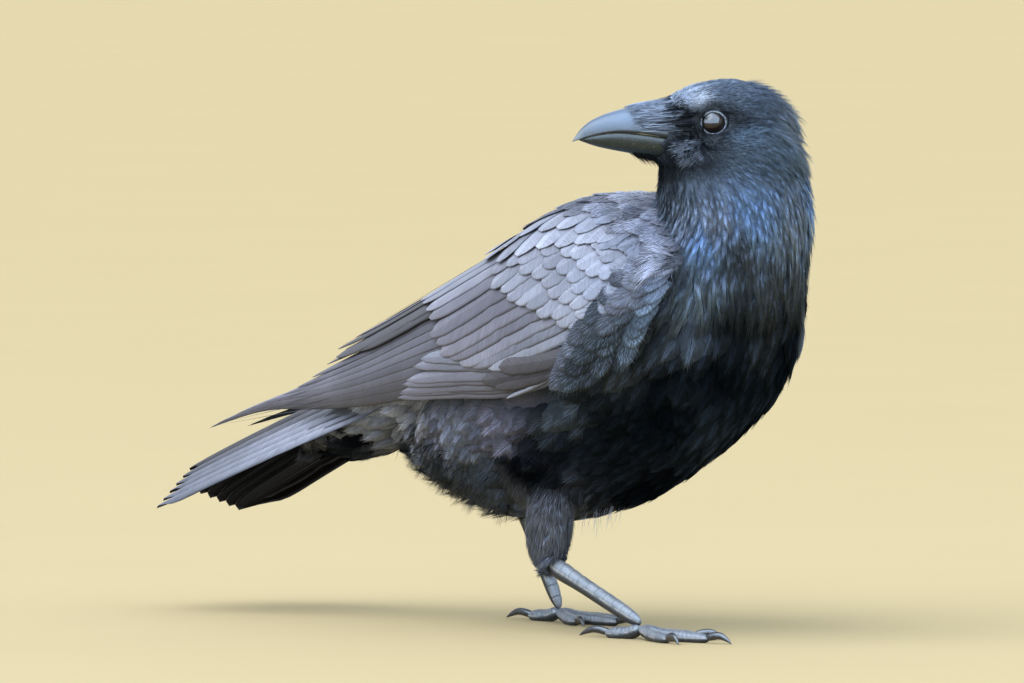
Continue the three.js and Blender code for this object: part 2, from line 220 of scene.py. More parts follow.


# Feathers read their colour, which carries the palette's painted sheen and shade, their place along
# and across the vane, and the vane's map, whose unit is a centimetre.
def featherMaterial(name, look):
    material, tree = newMaterial(name)
    hue = attribute(tree, "hue")["Color"]
    plume = attribute(tree, "plume")
    shade, along, across = split(tree, plume["Vector"])
    upper = plume["Alpha"]
    u, v = mapOf(tree, "vane")
    slant = calc(tree, "SUBTRACT", v, product(tree, calc(tree, "ABSOLUTE", u), look["slant"]))
    streaks = noiseOf(tree, combine(tree, slant, product(tree, u, 0.12), shade), look["barbs"], 2.0, 0.7)
    lines = calc(tree, "SINE", product(tree, slant, look["lines"]))
    lines = calc(tree, "MULTIPLY_ADD", lines, 0.5, 0.5)
    patches = noiseOf(tree, placeOf(tree), look["patches"])
    # In the wing and tail looks the tone darkens towards each vane's edge (across, rim): painted shade
    # where the feathers overlap.
    light = product(tree,
                    spread(tree, shade, 0, 1, *look["shade"]),
                    spread(tree, streaks, 0.25, 0.75, *look["streak"]),
                    spread(tree, along, 0.25, 1, *look["along"]),
                    spread(tree, across, 0.55, 1, *look["across"]),
                    spread(tree, patches, 0.3, 0.7, *look["patch"]),
                    spread(tree, across, 0.86, 1, 1, look["rim"]),
                    spread(tree, u, -0.02, 0.02, look["inner"], 1))
    tone = blendColour(tree, spread(tree, lines, 0, 1, 0, look["lineShare"]), hue, look["lineTone"])
    tone = blendColour(tree, upper, look["under"], tone)
    glow = addNode(tree, "SeparateColor", {0: hue}).outputs["Green"]
    values = {
        "Base Color": scaled(tree, tone, light),
        "Roughness": spread(tree, streaks, 0.3, 0.7, *look["rough"]),
        "Specular IOR Level": spread(tree, product(tree, glow, upper), 0.02, 0.14, 0, look["gloss"]),
        "Sheen Weight": spread(tree, glow, 0.03, 0.15, 0, look["sheen"]),
        "Sheen Roughness": look["sheenRough"], "Sheen Tint": look["sheenTint"],
    }
    height = calc(tree, "ADD", product(tree, lines, look["lineDepth"]), streaks)
    return finishMaterial(material, values, height, look["bump"], 0.25)


bodyLook = {
    "slant": 1.5, "barbs": 11.0, "lines": 105.0, "lineShare": 0.35, "lineTone": (0.004, 0.005, 0.007, 1),
    "lineDepth": 0.5, "patches": 40.0, "shade": (0.7, 1.3), "streak": (0.6, 1.4),
    "along": (0.5, 1.2), "across": (1.0, 1.2), "rim": 1.0, "inner": 1.0, "patch": (0.75, 1.25),
    "under": (0.026, 0.030, 0.036, 1), "rough": (0.45, 0.65), "bump": 0.45,
    "gloss": 0.13, "sheen": 0.06, "sheenRough": 0.4, "sheenTint": (0.55, 0.72, 1.0, 1),
}
# Here and in the tail look, across and rim darken each vane towards its edge: painted shade where
# the feathers overlap.
wingLook = {
    **bodyLook, "slant": 0.75, "barbs": 12.0, "lines": 70.0, "lineShare": 0.14, "shade": (0.8, 1.16),
    "streak": (0.76, 1.24), "along": (0.72, 1.05), "across": (1.08, 0.72), "rim": 0.4, "inner": 0.78,
    "patch": (0.85, 1.15), "rough": (0.38, 0.52), "bump": 0.35,
    "gloss": 0.17, "sheen": 0.1, "sheenRough": 0.35, "sheenTint": (0.7, 0.76, 1.0, 1),
}
hairLook = {
    **bodyLook, "slant": 0.0, "barbs": 4.0, "lineShare": 0.0, "shade": (0.45, 1.55),
    "streak": (0.85, 1.15), "along": (0.6, 1.3), "across": (1.0, 1.0), "rough": (0.4, 0.55),
    "bump": 0.1, "gloss": 0.18,
}
tailLook = {
    **wingLook, "under": (0.007, 0.006, 0.006, 1), "inner": 1.0, "rim": 0.3, "streak": (0.6, 1.4),
    "across": (1.15, 0.45), "along": (1.3, 0.4),
}
plumage = {
    "body": featherMaterial("contourFeather", bodyLook),
    "wing": featherMaterial("wingFeather", wingLook),
    "hair": featherMaterial("hairFeather", hairLook),
    "tail": featherMaterial("tailFeather", tailLook),
}


def skinMaterial():
    material, tree = newMaterial("featheredSkin")
    fluff = noiseOf(tree, placeOf(tree), 900.0, 4.0, 0.7)
    base = scaled(tree, attribute(tree, "hue")["Color"], spread(tree, fluff, 0.3, 0.7, 0.25, 0.6))
    values = {"Base Color": base, "Roughness": 0.8, "Specular IOR Level": 0.2}
    return finishMaterial(material, values, fluff, 0.6, 0.5)


print("materials ready")


# Meshes

def showMesh(name, mesh, material, replaced):
    mesh.materials.append(material)
    obj = bpy.data.objects.new(name, mesh)
    bpy.context.scene.collection.objects.link(obj)
    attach(obj, "root")
    if replaced:
        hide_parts(*replaced)
    return obj


def meshOf(name, bm, smooth=True):
    bmesh.ops.recalc_face_normals(bm, faces=bm.faces)
    if bm.calc_volume(signed=True) < 0:
        bmesh.ops.reverse_faces(bm, faces=bm.faces)
    for face in bm.faces:
        face.smooth = smooth
    mesh = bpy.data.meshes.new(name)
    bm.to_mesh(mesh)
    bm.free()
    return mesh


# A rounded solid: place(share, angle) puts each point, share going from 0 at one pole to 1.
def ballMesh(name, sides, rings, place):
    bm = bmesh.new()
    bmesh.ops.create_uvsphere(bm, u_segments=sides, v_segments=rings, radius=1)
    for vertex in bm.verts:
        share = math.acos(max(-1.0, min(1.0, -vertex.co.z))) / math.pi
        vertex.co = place(share, math.atan2(vertex.co.y, vertex.co.x))
    return meshOf(name, bm)


def pointsOf(mesh):
    return np.array([vertex.co for vertex in mesh.vertices], float)


def addMap(mesh, name, places):       # a UV map with one place for each vertex
    corners = places[[loop.vertex_index for loop in mesh.loops]].astype(np.float32)
    mesh.uv_layers.new(name=name).data.foreach_set("uv", corners.ravel())


def addColours(mesh, name, colours):
    data = mesh.color_attributes.new(name, "FLOAT_COLOR", "POINT").data
    data.foreach_set("color", colours.astype(np.float32).ravel())


def treeOf(*objects):
    vertices, faces = [], []
    for obj in objects:
        start = len(vertices)
        vertices += [vertex.co.copy() for vertex in obj.data.vertices]
        faces += [[start + i for i in face.vertices] for face in obj.data.polygons]
    return BVHTree.FromPolygons(vertices, faces)


def sampleAt(bvh, points):
    found = [bvh.find_nearest(Vector(p)) for p in points]
    places = np.array([hit[0] for hit in found], float)
    normals = np.array([hit[1] for hit in found], float)
    return places, normals


# The lie of the coat and its tones, blended between places on the crow; the tones are partly the
# plumage's own and partly painted sheen and shade. Each has two groups of places: the first as they
# stand, the second for both sides.

headCombing = (
    [((30, 0, 12), (-1, 0, 0.3)), ((14, 0, 20), (-1, 0, 0.25)), ((-6, 0, 22), (-1, 0, -0.05)),
     ((-26, 0, 18), (-0.85, 0, -0.5)), ((-44, 0, 0), (-0.3, 0, -1)), ((26, 0, -22), (-0.5, 0, -0.85)),
     ((6, 0, -30), (-0.1, 0, -1))],
    [((16, 15, 0), (-1, 0.3, 0)), ((-6, 21, -2), (-1, 0.1, -0.12)), ((-26, 18, -8), (-0.7, 0, -0.75)),
     ((10, 12, -18), (-0.8, 0.1, -0.6)), ((12, 14, -8), (-0.3, 0.1, -1))],
)
bodyCombing = (
    [((104, -3, 205), (0, 0, -1)), ((128, 0, 185), (0.15, 0, -1)), ((72, 0, 190), (-0.45, 0, -0.9)),
     ((45, 0, 190), (-1, 0, -0.2)), ((20, 0, 185), (-1, 0, -0.35)), ((138, 0, 150), (-0.1, 0, -1)),
     ((125, 0, 110), (-0.5, 0, -0.9)), ((70, 0, 70), (-1, 0, -0.25)), ((10, 0, 52), (-1, 0, -0.2)),
     ((-60, 0, 62), (-0.85, 0, -0.4)), ((-100, 0, 75), (-1, 0, -0.3)), ((-100, 0, 112), (-1, 0, -0.38)),
     ((18, -42, 45), (-0.1, 0, -1)), ((18, -14, 45), (-0.1, 0, -1)), ((-42, 42, 66), (-0.5, 0, -0.9)),
     ((-42, 14, 66), (-0.5, 0, -0.9))],
    [((105, 36, 180), (-0.1, 0.05, -1)), ((100, 48, 140), (-0.5, 0, -0.85)),
     ((60, 58, 120), (-0.85, 0, -0.5)), ((15, 50, 95), (-0.8, 0, -0.55)), ((-30, 40, 80), (-0.7, 0, -0.7))],
)
headMarks = (
    {"bristle": [(34, 0, 12)], "crown": [(20, 0, 17), (4, 0, 22), (-22, 0, 19)], "nape": [(-38, 0, 8)],
     "black": [(24, 0, -22)], "breast": [(12, 0, -34)]},
    # The sheen and brow tones above the eye are a painted highlight.
    {"sheen": [(18, 7, 13), (13, 11, 11)], "browSheen": [(8, 12, 10)], "crown": [(0, 14, 16), (-16, 18, 8)],
     "nape": [(-30, 14, -4)],
     "black": [(14, 12, 4), (8.5, 15, -2), (13, 13, -5), (8, 17, -9), (16, 11, -14)],
     "soot": [(8.5, 14.5, 3.5), (2, 18, 4.5), (14, 10, -23)],
     "deepSlate": [(1, 20, -8), (-8, 19, 1), (5, 20, -16)],
     "cheek": [(-10, 21, -7), (-22, 20, -12), (-8, 19, -20)], "breast": [(8, 14, -30)]},
)
bodyMarks = (
    {"nape": [(138, 4, 190)], "slate": [(142, 0, 165), (18, -14, 42)], "dusk": [(30, 0, 190)],
     "mantle": [(72, 0, 196), (-20, 0, 165), (-100, 0, 118)], "soot": [(138, 4, 148)],
     # The belly tone under the body is partly the crow's black and partly painted shade.
     "belly": [(134, 0, 120), (70, 0, 62), (0, 0, 52), (-70, 0, 60), (-116, 0, 75)],
     "thigh": [(18, -44, 42), (20, -42, 58), (-46, 44, 66)], "deepSlate": [(-46, 14, 66)]},
    # The blue and throat tones on the throat are painted iridescent sheen.
    {"blueSheen": [(125, 20, 194), (116, 31, 182)], "throat": [(120, 30, 190), (104, 38, 188)],
     "breast": [(112, 38, 166)], "soot": [(130, 30, 155)], "black": [(84, 60, 112)],
     "slate": [(70, 30, 192), (127, 24, 178), (100, 42, 172), (56, 62, 104)],
     "deepSlate": [(88, 38, 196), (104, 50, 150), (84, 56, 138), (-10, 44, 78), (-44, 34, 72)],
     # The belly tone under the breast and body is partly the crow's black and partly painted shade.
     "belly": [(132, 24, 142), (128, 26, 132), (106, 50, 122), (108, 44, 104), (88, 54, 98), (52, 58, 92),
               (104, 40, 92), (70, 52, 82), (40, 54, 84), (20, 40, 78), (-96, 22, 86)],
     "flank": [(14, 56, 100), (-40, 44, 98)], "dusk": [(-16, 52, 98)],
     # The pale mantle tone on the coverts under the wing tips is partly painted light against the
     # wings' shadow.
     "mantle": [(-53, 40, 105), (-72, 36, 98), (-84, 32, 92), (-104, 30, 104)]},
)


def crowWay(x, y, z):
    return Vector((x, y, z))


def combed(groups, point, way):
    return [(point(x, sign * y, z), way(ahead, sign * left, up))
            for signs, rows in zip(((1,), (1, -1)), groups)
            for (x, y, z), (ahead, left, up) in rows for sign in signs]


def marked(groups, point):
    return [(point(x, sign * y, z), palette[tone])
            for signs, tones in zip(((1,), (1, -1)), groups)
            for tone, spots in tones.items() for x, y, z in spots for sign in signs]


def field(rows):
    return [np.array(column, float) for column in zip(*rows)]


combing = field(combed(headCombing, headPoint, headWay) + combed(bodyCombing, crowPoint, crowWay))
markingsAndPaintedLight = field(marked(headMarks, headPoint) + marked(bodyMarks, crowPoint))
eyeParting = {"from": 6, "over": 5, "behind": -4, "lean": 0.3}      # the coat parts round each eye


def blendAt(points, marks, power=5):
    places, values = marks
    gaps = np.linalg.norm(points[:, None, :] - places[None], axis=2)
    weights = 1 / (gaps + 3 * mm) ** power
    return weights @ values / weights.sum(1, keepdims=True)


def combAt(points, normals):
    way = unit(blendAt(points, combing))
    size = eyeParting
    for side, middle in eyeMiddles.items():
        gaze = np.array(headLeft) * sideSigns[side]
        away = (points - np.array(middle)) / mm
        out = away @ gaze
        around = away - out[:, None] * gaze
        far = np.linalg.norm(around, axis=1)
        near = (1 - ease((far - size["from"]) / size["over"])) * (out > size["behind"])
        around = unit(around)
        inward = np.minimum(0, (way * around).sum(1) - size["lean"])
        way = way - around * (inward * near)[:, None]
    return unit(way - normals * (way * normals).sum(1, keepdims=True))


# The skin is one surface under all the flesh nodes. It lies deeper than they do by the feathers'
# height, and stands out to a rim round each eye.

skinSizes = {
    "voxel": 1.6, "smoothing": 8, "overlap": 0.3, "headDepth": 1.1, "bodyDepth": 2.2, "fromHead": (30, 60),
    "throat": 2.4, "throatAhead": (12, 20), "throatBelow": (16, 21),
    "eyeClear": 6.9, "eyeRim": 4.2, "rimBehind": -5, "rimFade": (5.2, 14.2),
}
fleshNodes = ["head", "neck", "trunk", "tail_coverts", "thigh_right", "thigh_left",
              "wing_right_coverts", "wing_left_coverts"]


def easeFrom(span, value):
    return float(ease((value - span[0]) / (span[1] - span[0])))


def fleshMesh():
    joined = bmesh.new()
    for node in fleshNodes:
        part = bmesh.new()
        part.from_mesh(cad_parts[node].data)
        bmesh.ops.remove_doubles(part, verts=part.verts, dist=0.01 * mm)
        part.normal_update()
        for vertex in part.verts:
            vertex.co += vertex.normal * skinSizes["overlap"] * mm
        copied = bpy.data.meshes.new(node + "Copy")
        part.to_mesh(copied)
        part.free()
        joined.from_mesh(copied)
        bpy.data.meshes.remove(copied)
    whole = bpy.data.objects.new("skinDraft", meshOf("skinDraft", joined))
    bpy.context.scene.collection.objects.link(whole)
    remesh = whole.modifiers.new("remesh", "REMESH")
    remesh.mode = "VOXEL"
    remesh.voxel_size = skinSizes["voxel"] * mm
    smoothing = whole.modifiers.new("smooth", "SMOOTH")
    smoothing.factor = 0.5
    smoothing.iterations = skinSizes["smoothing"]
    whole.update_tag()
    ready = whole.evaluated_get(bpy.context.evaluated_depsgraph_get())
    mesh = bpy.data.meshes.new_from_object(ready)
    bpy.data.objects.remove(whole)
    return mesh


def makeSkin():
    size = skinSizes
    bm = bmesh.new()
    bm.from_mesh(fleshMesh())
    keepLargest(bm)
    bm.normal_update()
    for vertex in bm.verts:
        away = vertex.co - headMiddle
        depth = mix(size["headDepth"], size["bodyDepth"], easeFrom(size["fromHead"], away.length / mm))
        ahead, below = away.dot(headFront) / mm, -away.z / mm
        depth += size["throat"] * easeFrom(size["throatAhead"], ahead) * easeFrom(size["throatBelow"], below)
        vertex.co -= vertex.normal * depth * mm
        for side, middle in eyeMiddles.items():
            away = vertex.co - middle
            if away.length < size["eyeClear"] * mm:
                away = away.normalized() * size["eyeClear"] * mm
                vertex.co = middle + away
            gaze = headLeft * sideSigns[side]
            out = away.dot(gaze) / mm
            far = (away - gaze * out * mm).length / mm
            if size["rimBehind"] < out < size["eyeRim"] and far > size["rimFade"][0]:
                lift = (size["eyeRim"] - out) * (1 - easeFrom(size["rimFade"], far))
                vertex.co += gaze * lift * mm
    return meshOf("skin", bm)


def keepLargest(bm):
    left, islands = set(bm.verts), []
    while left:
        stack, island = [left.pop()], []
        while stack:
            vertex = stack.pop()
            island.append(vertex)
            for edge in vertex.link_edges:
                other = edge.other_vert(vertex)
                if other in left:
                    left.remove(other)
                    stack.append(other)
        islands.append(island)
    islands.sort(key=len)
    for island in islands[:-1]:
        bmesh.ops.delete(bm, geom=island, context="VERTS")


# The coat's bake map is a roll of the skin's own shape: the way round the crow's long middle line by
# the way along it.
spineLine = np.array([crowPoint(*p) for p in (
    (-220, 0, 78), (-120, 0, 95), (-40, 0, 112), (40, 0, 138), (85, 0, 150), (102, -2, 190),
    (98, -10, 226), (97.5, -11.4, 236))] + [headPoint(20, 0, -3), headPoint(62, 0, -6)])


def unrolled(points):
    starts, ends = spineLine[:-1], spineLine[1:]
    spans = ends - starts
    lengths = np.linalg.norm(spans, axis=1)
    before = np.concatenate(([0], np.cumsum(lengths)))
    offsets = points[:, None, :] - starts[None]
    shares = np.clip((offsets * spans).sum(2) / (lengths ** 2), 0, 1)
    feet = starts[None] + spans[None] * shares[..., None]
    gaps = points[:, None, :] - feet
    nearest = np.argmin((gaps ** 2).sum(2), axis=1)
    rows = np.arange(len(points))
    away = gaps[rows, nearest]
    ways = unit(spans[nearest])
    ups = np.where(np.abs(ways[:, 2:3]) > 0.8, np.array([[1.0, 0, 0]]), np.array([[0, 0, 1.0]]))
    ups = unit(ups - ways * (ups * ways).sum(1, keepdims=True))
    sides = np.cross(ways, ups)
    angle = np.arctan2((away * sides).sum(1), (away * ups).sum(1)) / (2 * math.pi) + 0.5
    along = (before[nearest] + shares[rows, nearest] * lengths[nearest]) / before[-1]
    return np.stack((angle * 0.98 + 0.01, along * 0.98 + 0.01), 1)


skinMesh = makeSkin()
skinPoints = pointsOf(skinMesh)
addColours(skinMesh, "hue",
           np.concatenate((blendAt(skinPoints, markingsAndPaintedLight), np.ones((len(skinPoints), 1))), 1))
skin = showMesh("skin", skinMesh, skinMaterial(), fleshNodes)
skinTree = treeOf(skin)
print("skin:", len(skinMesh.polygons), "faces")


# Feather shapes. Each is a small mesh in millimetres: x across, y along from the root, z up.

def closedVane(bm, size):
    made = bmesh.ops.create_grid(bm, x_segments=size["columns"], y_segments=size["rows"], size=1)["verts"]
    for vertex in made:
        across, along = vertex.co.x, (vertex.co.y + 1) / 2
        along = 1 - (1 - along) ** 1.25
        quill = min(1.0, size["quill"] + (1 - size["quill"]) * (along / size["full"]) ** 0.8)
        beyond = max(0.0, (along - size["round"]) / (1 - size["round"]))
        half = quill * max(0.0, 1 - beyond ** size["blunt"]) ** 0.5
        web = size["inner"] if across > 0 else size["outer"]
        arch = size["arch"] * (1 - across * across) * half
        sweep = size["sweep"] * abs(across) ** 1.5 * half
        vertex.co = Vector((across * half * web, along * size["long"] - sweep, arch))
    bmesh.ops.remove_doubles(bm, verts=made, dist=0.001)
    faces = [face for face in bm.faces if face.calc_area() > 0]
    bmesh.ops.solidify(bm, geom=faces, thickness=size["thick"])


def addStrand(bm, start, way, length, thick, flat=0.6):
    turned = Vector(way).to_track_quat("Z", "Y").to_matrix().to_4x4()
    middle = Vector(start) + Vector(way).normalized() * length / 2
    place = Matrix.Translation(middle) @ Matrix.Diagonal((1, 1, flat, 1)) @ turned
    bmesh.ops.create_cone(bm, cap_ends=True, segments=3, radius1=thick, radius2=0, depth=length,
                          matrix=place)


def templateOf(bm, length, half, flat=False):
    bmesh.ops.triangulate(bm, faces=bm.faces[:])
    bmesh.ops.recalc_face_normals(bm, faces=bm.faces)
    bm.normal_update()
    bm.verts.index_update()
    points = np.array([v.co for v in bm.verts], float)
    faces = np.array([[v.index for v in face.verts] for face in bm.faces], np.int32)
    upper = np.array([1.0 if flat or v.normal.z > 0 else 0.0 for v in bm.verts])
    bm.free()
    return {"points": points, "faces": faces, "long": length, "half": half, "upper": upper}


contourSizes = {
    "columns": 4, "rows": 4, "quill": 0.35, "full": 0.45, "round": 0.42, "blunt": 2.2, "arch": 0.45,
    "sweep": 1.6, "inner": 6.6, "outer": 6.6, "long": 22, "thick": 0.12,
}
fringeSizes = {"barbs": 32, "long": 22, "half": 6.6, "thick": 0.15, "reach": (7.5, 11.5), "from": 0.36,
               "to": 0.86, "lean": 0.66, "above": 0.62}


def contourVane(sizes):
    bm = bmesh.new()
    closedVane(bm, sizes)
    return templateOf(bm, sizes["long"], sizes["inner"])


# The barbs of a contour feather, which part from its shaft and stand out past its edge
def fringe(seed, sizes):
    draw = np.random.default_rng(seed)
    bm = bmesh.new()
    for k in range(sizes["barbs"]):
        side = 1 if k % 2 else -1
        share = (k + draw.uniform(0, 1)) / sizes["barbs"]
        lean = side * sizes["lean"] * (1 - 0.8 * share) + draw.normal(0, 0.08)
        start = (side * 0.2, sizes["long"] * mix(sizes["from"], sizes["to"], share), sizes["above"])
        way = (math.sin(lean), math.cos(lean), -0.035)
        reach = draw.uniform(*sizes["reach"]) * (1 - 0.45 * share)
        addStrand(bm, start, way, reach, sizes["thick"])
    return templateOf(bm, sizes["long"], sizes["half"], True)


hackleSizes = {"long": 17, "half": 2.1, "strands": 9, "thick": 0.36}


# A narrow pointed feather whose barbs part towards its tip.
def hackle(seed, sizes):
    draw = np.random.default_rng(seed)
    bm = bmesh.new()
    for k in range(sizes["strands"]):
        share = 2 * k / (sizes["strands"] - 1) - 1
        start = (share * sizes["half"] * 0.5, draw.uniform(0, sizes["long"] * 0.25),
                 0.2 - 0.15 * abs(share))
        far = sizes["long"] * (1 - 0.3 * share * share) * draw.uniform(0.85, 1.05)
        end = Vector((share * sizes["half"] * draw.uniform(0.4, 1.1), far, 0))
        way = end - Vector(start)
        addStrand(bm, start, way, way.length, sizes["thick"], 0.5)
    return templateOf(bm, sizes["long"], sizes["half"], True)


# One hair-like lock, bent at its middle.
def lock(sizes):
    bm = bmesh.new()
    bmesh.ops.create_cone(bm, cap_ends=True, segments=3, radius1=0.62, radius2=0, depth=1)
    lengthwise = [edge for edge in bm.edges if abs(edge.verts[0].co.z - edge.verts[1].co.z) > 0.5]
    bmesh.ops.subdivide_edges(bm, edges=lengthwise, cuts=sizes.get("cuts", 1))
    for vertex in bm.verts:
        x, y, z = vertex.co
        share = z + 0.5
        wide = 2.4 if 0.2 < share < 0.8 else 1.6
        vertex.co = Vector((x * sizes["half"] * wide, share * sizes["long"], y * sizes["thick"]))
    return templateOf(bm, sizes["long"], sizes["half"], True)


# Planting: templates become one joined mesh, each copy bent along its own line over the skin

def traceLines(roots, normals, lengths, turn):
    ways = combAt(roots, normals)
    sides = np.cross(ways, normals)
    ways = unit(ways * np.cos(turn)[:, None] + sides * np.sin(turn)[:, None])
    half = lengths[:, None] * mm / 2
    middles, middleNormals = sampleAt(skinTree, roots + ways * half)
    onward = unit(combAt(middles, middleNormals) + ways)
    tips, tipNormals = sampleAt(skinTree, middles + onward * half)
    tips = middles + unit(tips - middles) * half
    return ways, middles, middleNormals, tips, tipNormals


# A line from its start past its bend to its end, and the way that it goes
def bentLine(start, bend, end, along):
    pull = 2 * bend - (start + end) / 2
    line = (1 - along) ** 2 * start + 2 * along * (1 - along) * pull + along ** 2 * end
    return line, unit((1 - along) * (pull - start) + along * (end - pull))


def plant(name, template, roots, normals, sizes, seed, material, hues=None):
    draw = np.random.default_rng(seed)
    count = len(roots)
    scale = draw.uniform(1 - sizes["vary"], 1 + sizes["vary"], count)
    if "grow" in sizes:
        scale *= sizes["grow"](roots)
    lengths = template[0]["long"] * scale
    cells = np.floor(roots / (sizes.get("clump", 4) * mm)).astype(int)
    _, clump = np.unique(cells, axis=0, return_inverse=True)
    shared = draw.random((clump.max() + 1, 3))[clump.ravel()]
    turn = draw.normal(0, sizes["stray"], count) + (shared[:, 0] - 0.5) * sizes["stray"] * 2.4
    ways, middles, middleNormals, tips, tipNormals = traceLines(roots, normals, lengths, turn)
    lift = sizes["lift"] * (draw.uniform(0.75, 1.25, count) * mix(0.75, 1.25, shared[:, 1]))[:, None] * mm
    lines = np.stack((roots - normals * sizes["sink"] * mm, middles + middleNormals * lift * 0.62,
                      tips + tipNormals * lift))
    falls = np.zeros(count)
    if sizes.get("wrap"):      # broad feathers curve across with the skin under them
        halves = template[0]["half"] * scale * mm
        crossWays = unit(np.cross(ways, middleNormals))
        for sign in (-1, 1):
            sidePoints, _ = sampleAt(skinTree, middles + crossWays * (sign * halves)[:, None])
            falls += ((middles - sidePoints) * middleNormals).sum(1) / 2
        falls = np.clip(falls / halves ** 2, -20, 60)
    shade = mix(draw.random(count), shared[:, 2], 0.5)
    pick = draw.integers(0, len(template), count)
    hues = blendAt(roots, markingsAndPaintedLight) if hues is None else np.broadcast_to(hues, (count, 3))
    parts = []
    for shape, rows in picked(template, pick):
        x = shape["points"][None, :, 0] * scale[rows][:, None] * mm
        along = np.clip(shape["points"][None, :, 1] / shape["long"], 0, 1.3)[..., None]
        z = shape["points"][None, :, 2] * mm
        line, tangent = bentLine(*lines[:, rows, None], along)
        upward = unit(mix(normals[rows][:, None], tipNormals[rows][:, None], along))
        sideways = unit(np.cross(tangent, upward))
        upward = np.cross(sideways, tangent)
        drop = falls[rows][:, None] * x * x
        points = line + sideways * x[..., None] + upward * (z - drop)[..., None]
        parts.append((points, shape, rows))
    return joinCopies(name, parts, scale, shade, hues, unrolled(roots), material)


def picked(templates, pick):
    rows = [np.flatnonzero(pick == k) for k in range(len(templates))]
    return [(shape, chosen) for shape, chosen in zip(templates, rows) if len(chosen)]


bakeCell = (0.0012, 0.003)      # how wide and long one feather is on the bake map


def joinCopies(name, parts, scale, shade, hues, bakePlaces, material, replaced=()):
    points, faces, vanes, bakes, plumes, colours = [], [], [], [], [], []
    start = 0
    for placed, shape, rows in parts:
        copies, each = placed.shape[:2]
        offsets = start + np.arange(copies)[:, None, None] * each
        faces.append((shape["faces"][None] + offsets).reshape(-1, 3))
        points.append(placed.reshape(-1, 3))
        start += copies * each
        across, along = shape["points"][:, 0], shape["points"][:, 1]
        vane = shape["points"][None, :, :2] * scale[rows][:, None, None] / 10
        vanes.append(vane.reshape(-1, 2))
        spot = np.stack((across / shape["half"], along / shape["long"] - 0.5), 1) * bakeCell
        bakes.append((bakePlaces[rows][:, None] + spot[None]).reshape(-1, 2))
        ones = np.ones((copies, each))
        plume = (shade[rows][:, None] * ones, np.clip(along / shape["long"], 0, 1)[None] * ones,
                 np.clip(np.abs(across) / shape["half"], 0, 1)[None] * ones, shape["upper"][None] * ones)
        plumes.append(np.stack(plume, 2).reshape(-1, 4))
        colour = np.concatenate((hues[rows], np.ones((copies, 1))), 1)
        colours.append(np.repeat(colour, each, axis=0))
    points, faces = np.concatenate(points), np.concatenate(faces)
    a, b, c = ((points - points.mean(0))[faces[:, k]] for k in range(3))
    if (a * np.cross(b, c)).sum() < 0:       # a mirrored copy has its faces turned over
        faces = faces[:, ::-1]
    mesh = bpy.data.meshes.new(name)
    mesh.vertices.add(len(points))
    mesh.vertices.foreach_set("co", points.astype(np.float32).ravel())
    mesh.loops.add(faces.size)
    mesh.loops.foreach_set("vertex_index", faces.astype(np.int32).ravel())
    mesh.polygons.add(len(faces))
    mesh.polygons.foreach_set("loop_start", np.arange(0, faces.size, 3, dtype=np.int32))
    mesh.polygons.foreach_set("loop_total", np.full(len(faces), 3, np.int32))
    mesh.polygons.foreach_set("use_smooth", np.ones(len(faces), bool))
    for layer, values in (("vane", vanes), ("OFBake", bakes)):
        mesh.uv_layers.new(name=layer)
        corners = np.concatenate(values)[faces.ravel()].astype(np.float32)
        mesh.uv_layers[layer].data.foreach_set("uv", corners.ravel())
    addColours(mesh, "plume", np.concatenate(plumes))
    addColours(mesh, "hue", np.concatenate(colours))
    mesh.update()
    print(name + ":", len(faces), "triangles,", sum(len(rows) for _, _, rows in parts), "feathers")
    return showMesh(name, mesh, material, replaced)


# Locks laid along given lines, each from its start past its bend to its end
def layLocks(name, sizes, starts, bends, ends, outward, tones, seed, replaced=()):
    shape = lock(sizes)
    along = (shape["points"][None, :, 1] / shape["long"])[..., None]
    line, tangent = bentLine(starts[:, None], bends[:, None], ends[:, None], along)
    sideways = unit(np.cross(tangent, outward[:, None]))
    upward = np.cross(sideways, tangent)
    points = line + (sideways * shape["points"][None, :, :1] + upward * shape["points"][None, :, 2:]) * mm
    count = len(starts)
    scale = np.linalg.norm(ends - starts, axis=1) / mm / shape["long"]
    shade = np.random.default_rng(seed).random(count)
    tones = np.broadcast_to(tones, (count, 3))
    joinCopies(name, [(points, shape, np.arange(count))], scale, shade, tones, unrolled(starts),
               plumage["hair"], replaced)


# Random places on the skin, some of them no closer to each other than a spacing

skinMesh.calc_loop_triangles()
skinTriangles = np.array([t.vertices[:] for t in skinMesh.loop_triangles])
corners = skinPoints[skinTriangles]
crossed = np.cross(corners[:, 1] - corners[:, 0], corners[:, 2] - corners[:, 0])
triangleAreas = np.linalg.norm(crossed, axis=1) / 2
triangleNormals = unit(crossed)
triangleMiddles = corners.mean(1)


def scatter(seed, area, spacing=None, density=None):
    draw = np.random.default_rng(seed)
    chosen = np.flatnonzero(area)
    whole = triangleAreas[chosen].sum() / mm ** 2
    count = int(whole * density) if density else int(whole / spacing ** 2 * 7)
    picks = draw.choice(chosen, count, p=triangleAreas[chosen] / triangleAreas[chosen].sum())
    a, b = draw.random((2, count, 1))
    flip = a + b > 1
    a, b = np.where(flip, 1 - a, a), np.where(flip, 1 - b, b)
    spots = corners[picks]
    points = spots[:, 0] + (spots[:, 1] - spots[:, 0]) * a + (spots[:, 2] - spots[:, 0]) * b
    if spacing:
        points = points[spaced(points, spacing * mm)]
    return sampleAt(skinTree, points)


def spaced(points, gap):
    cells, kept = {}, []
    keys = np.floor(points / gap).astype(int)
    around = [(i, j, k) for i in (-1, 0, 1) for j in (-1, 0, 1) for k in (-1, 0, 1)]
    for index, (point, key) in enumerate(zip(points, keys)):
        near = [other for step in around for other in cells.get(tuple(key + step), ())]
        if all(((points[other] - point) ** 2).sum() > gap * gap for other in near):
            cells.setdefault(tuple(key), []).append(index)
            kept.append(index)
    return kept


# Which places belong to which coat

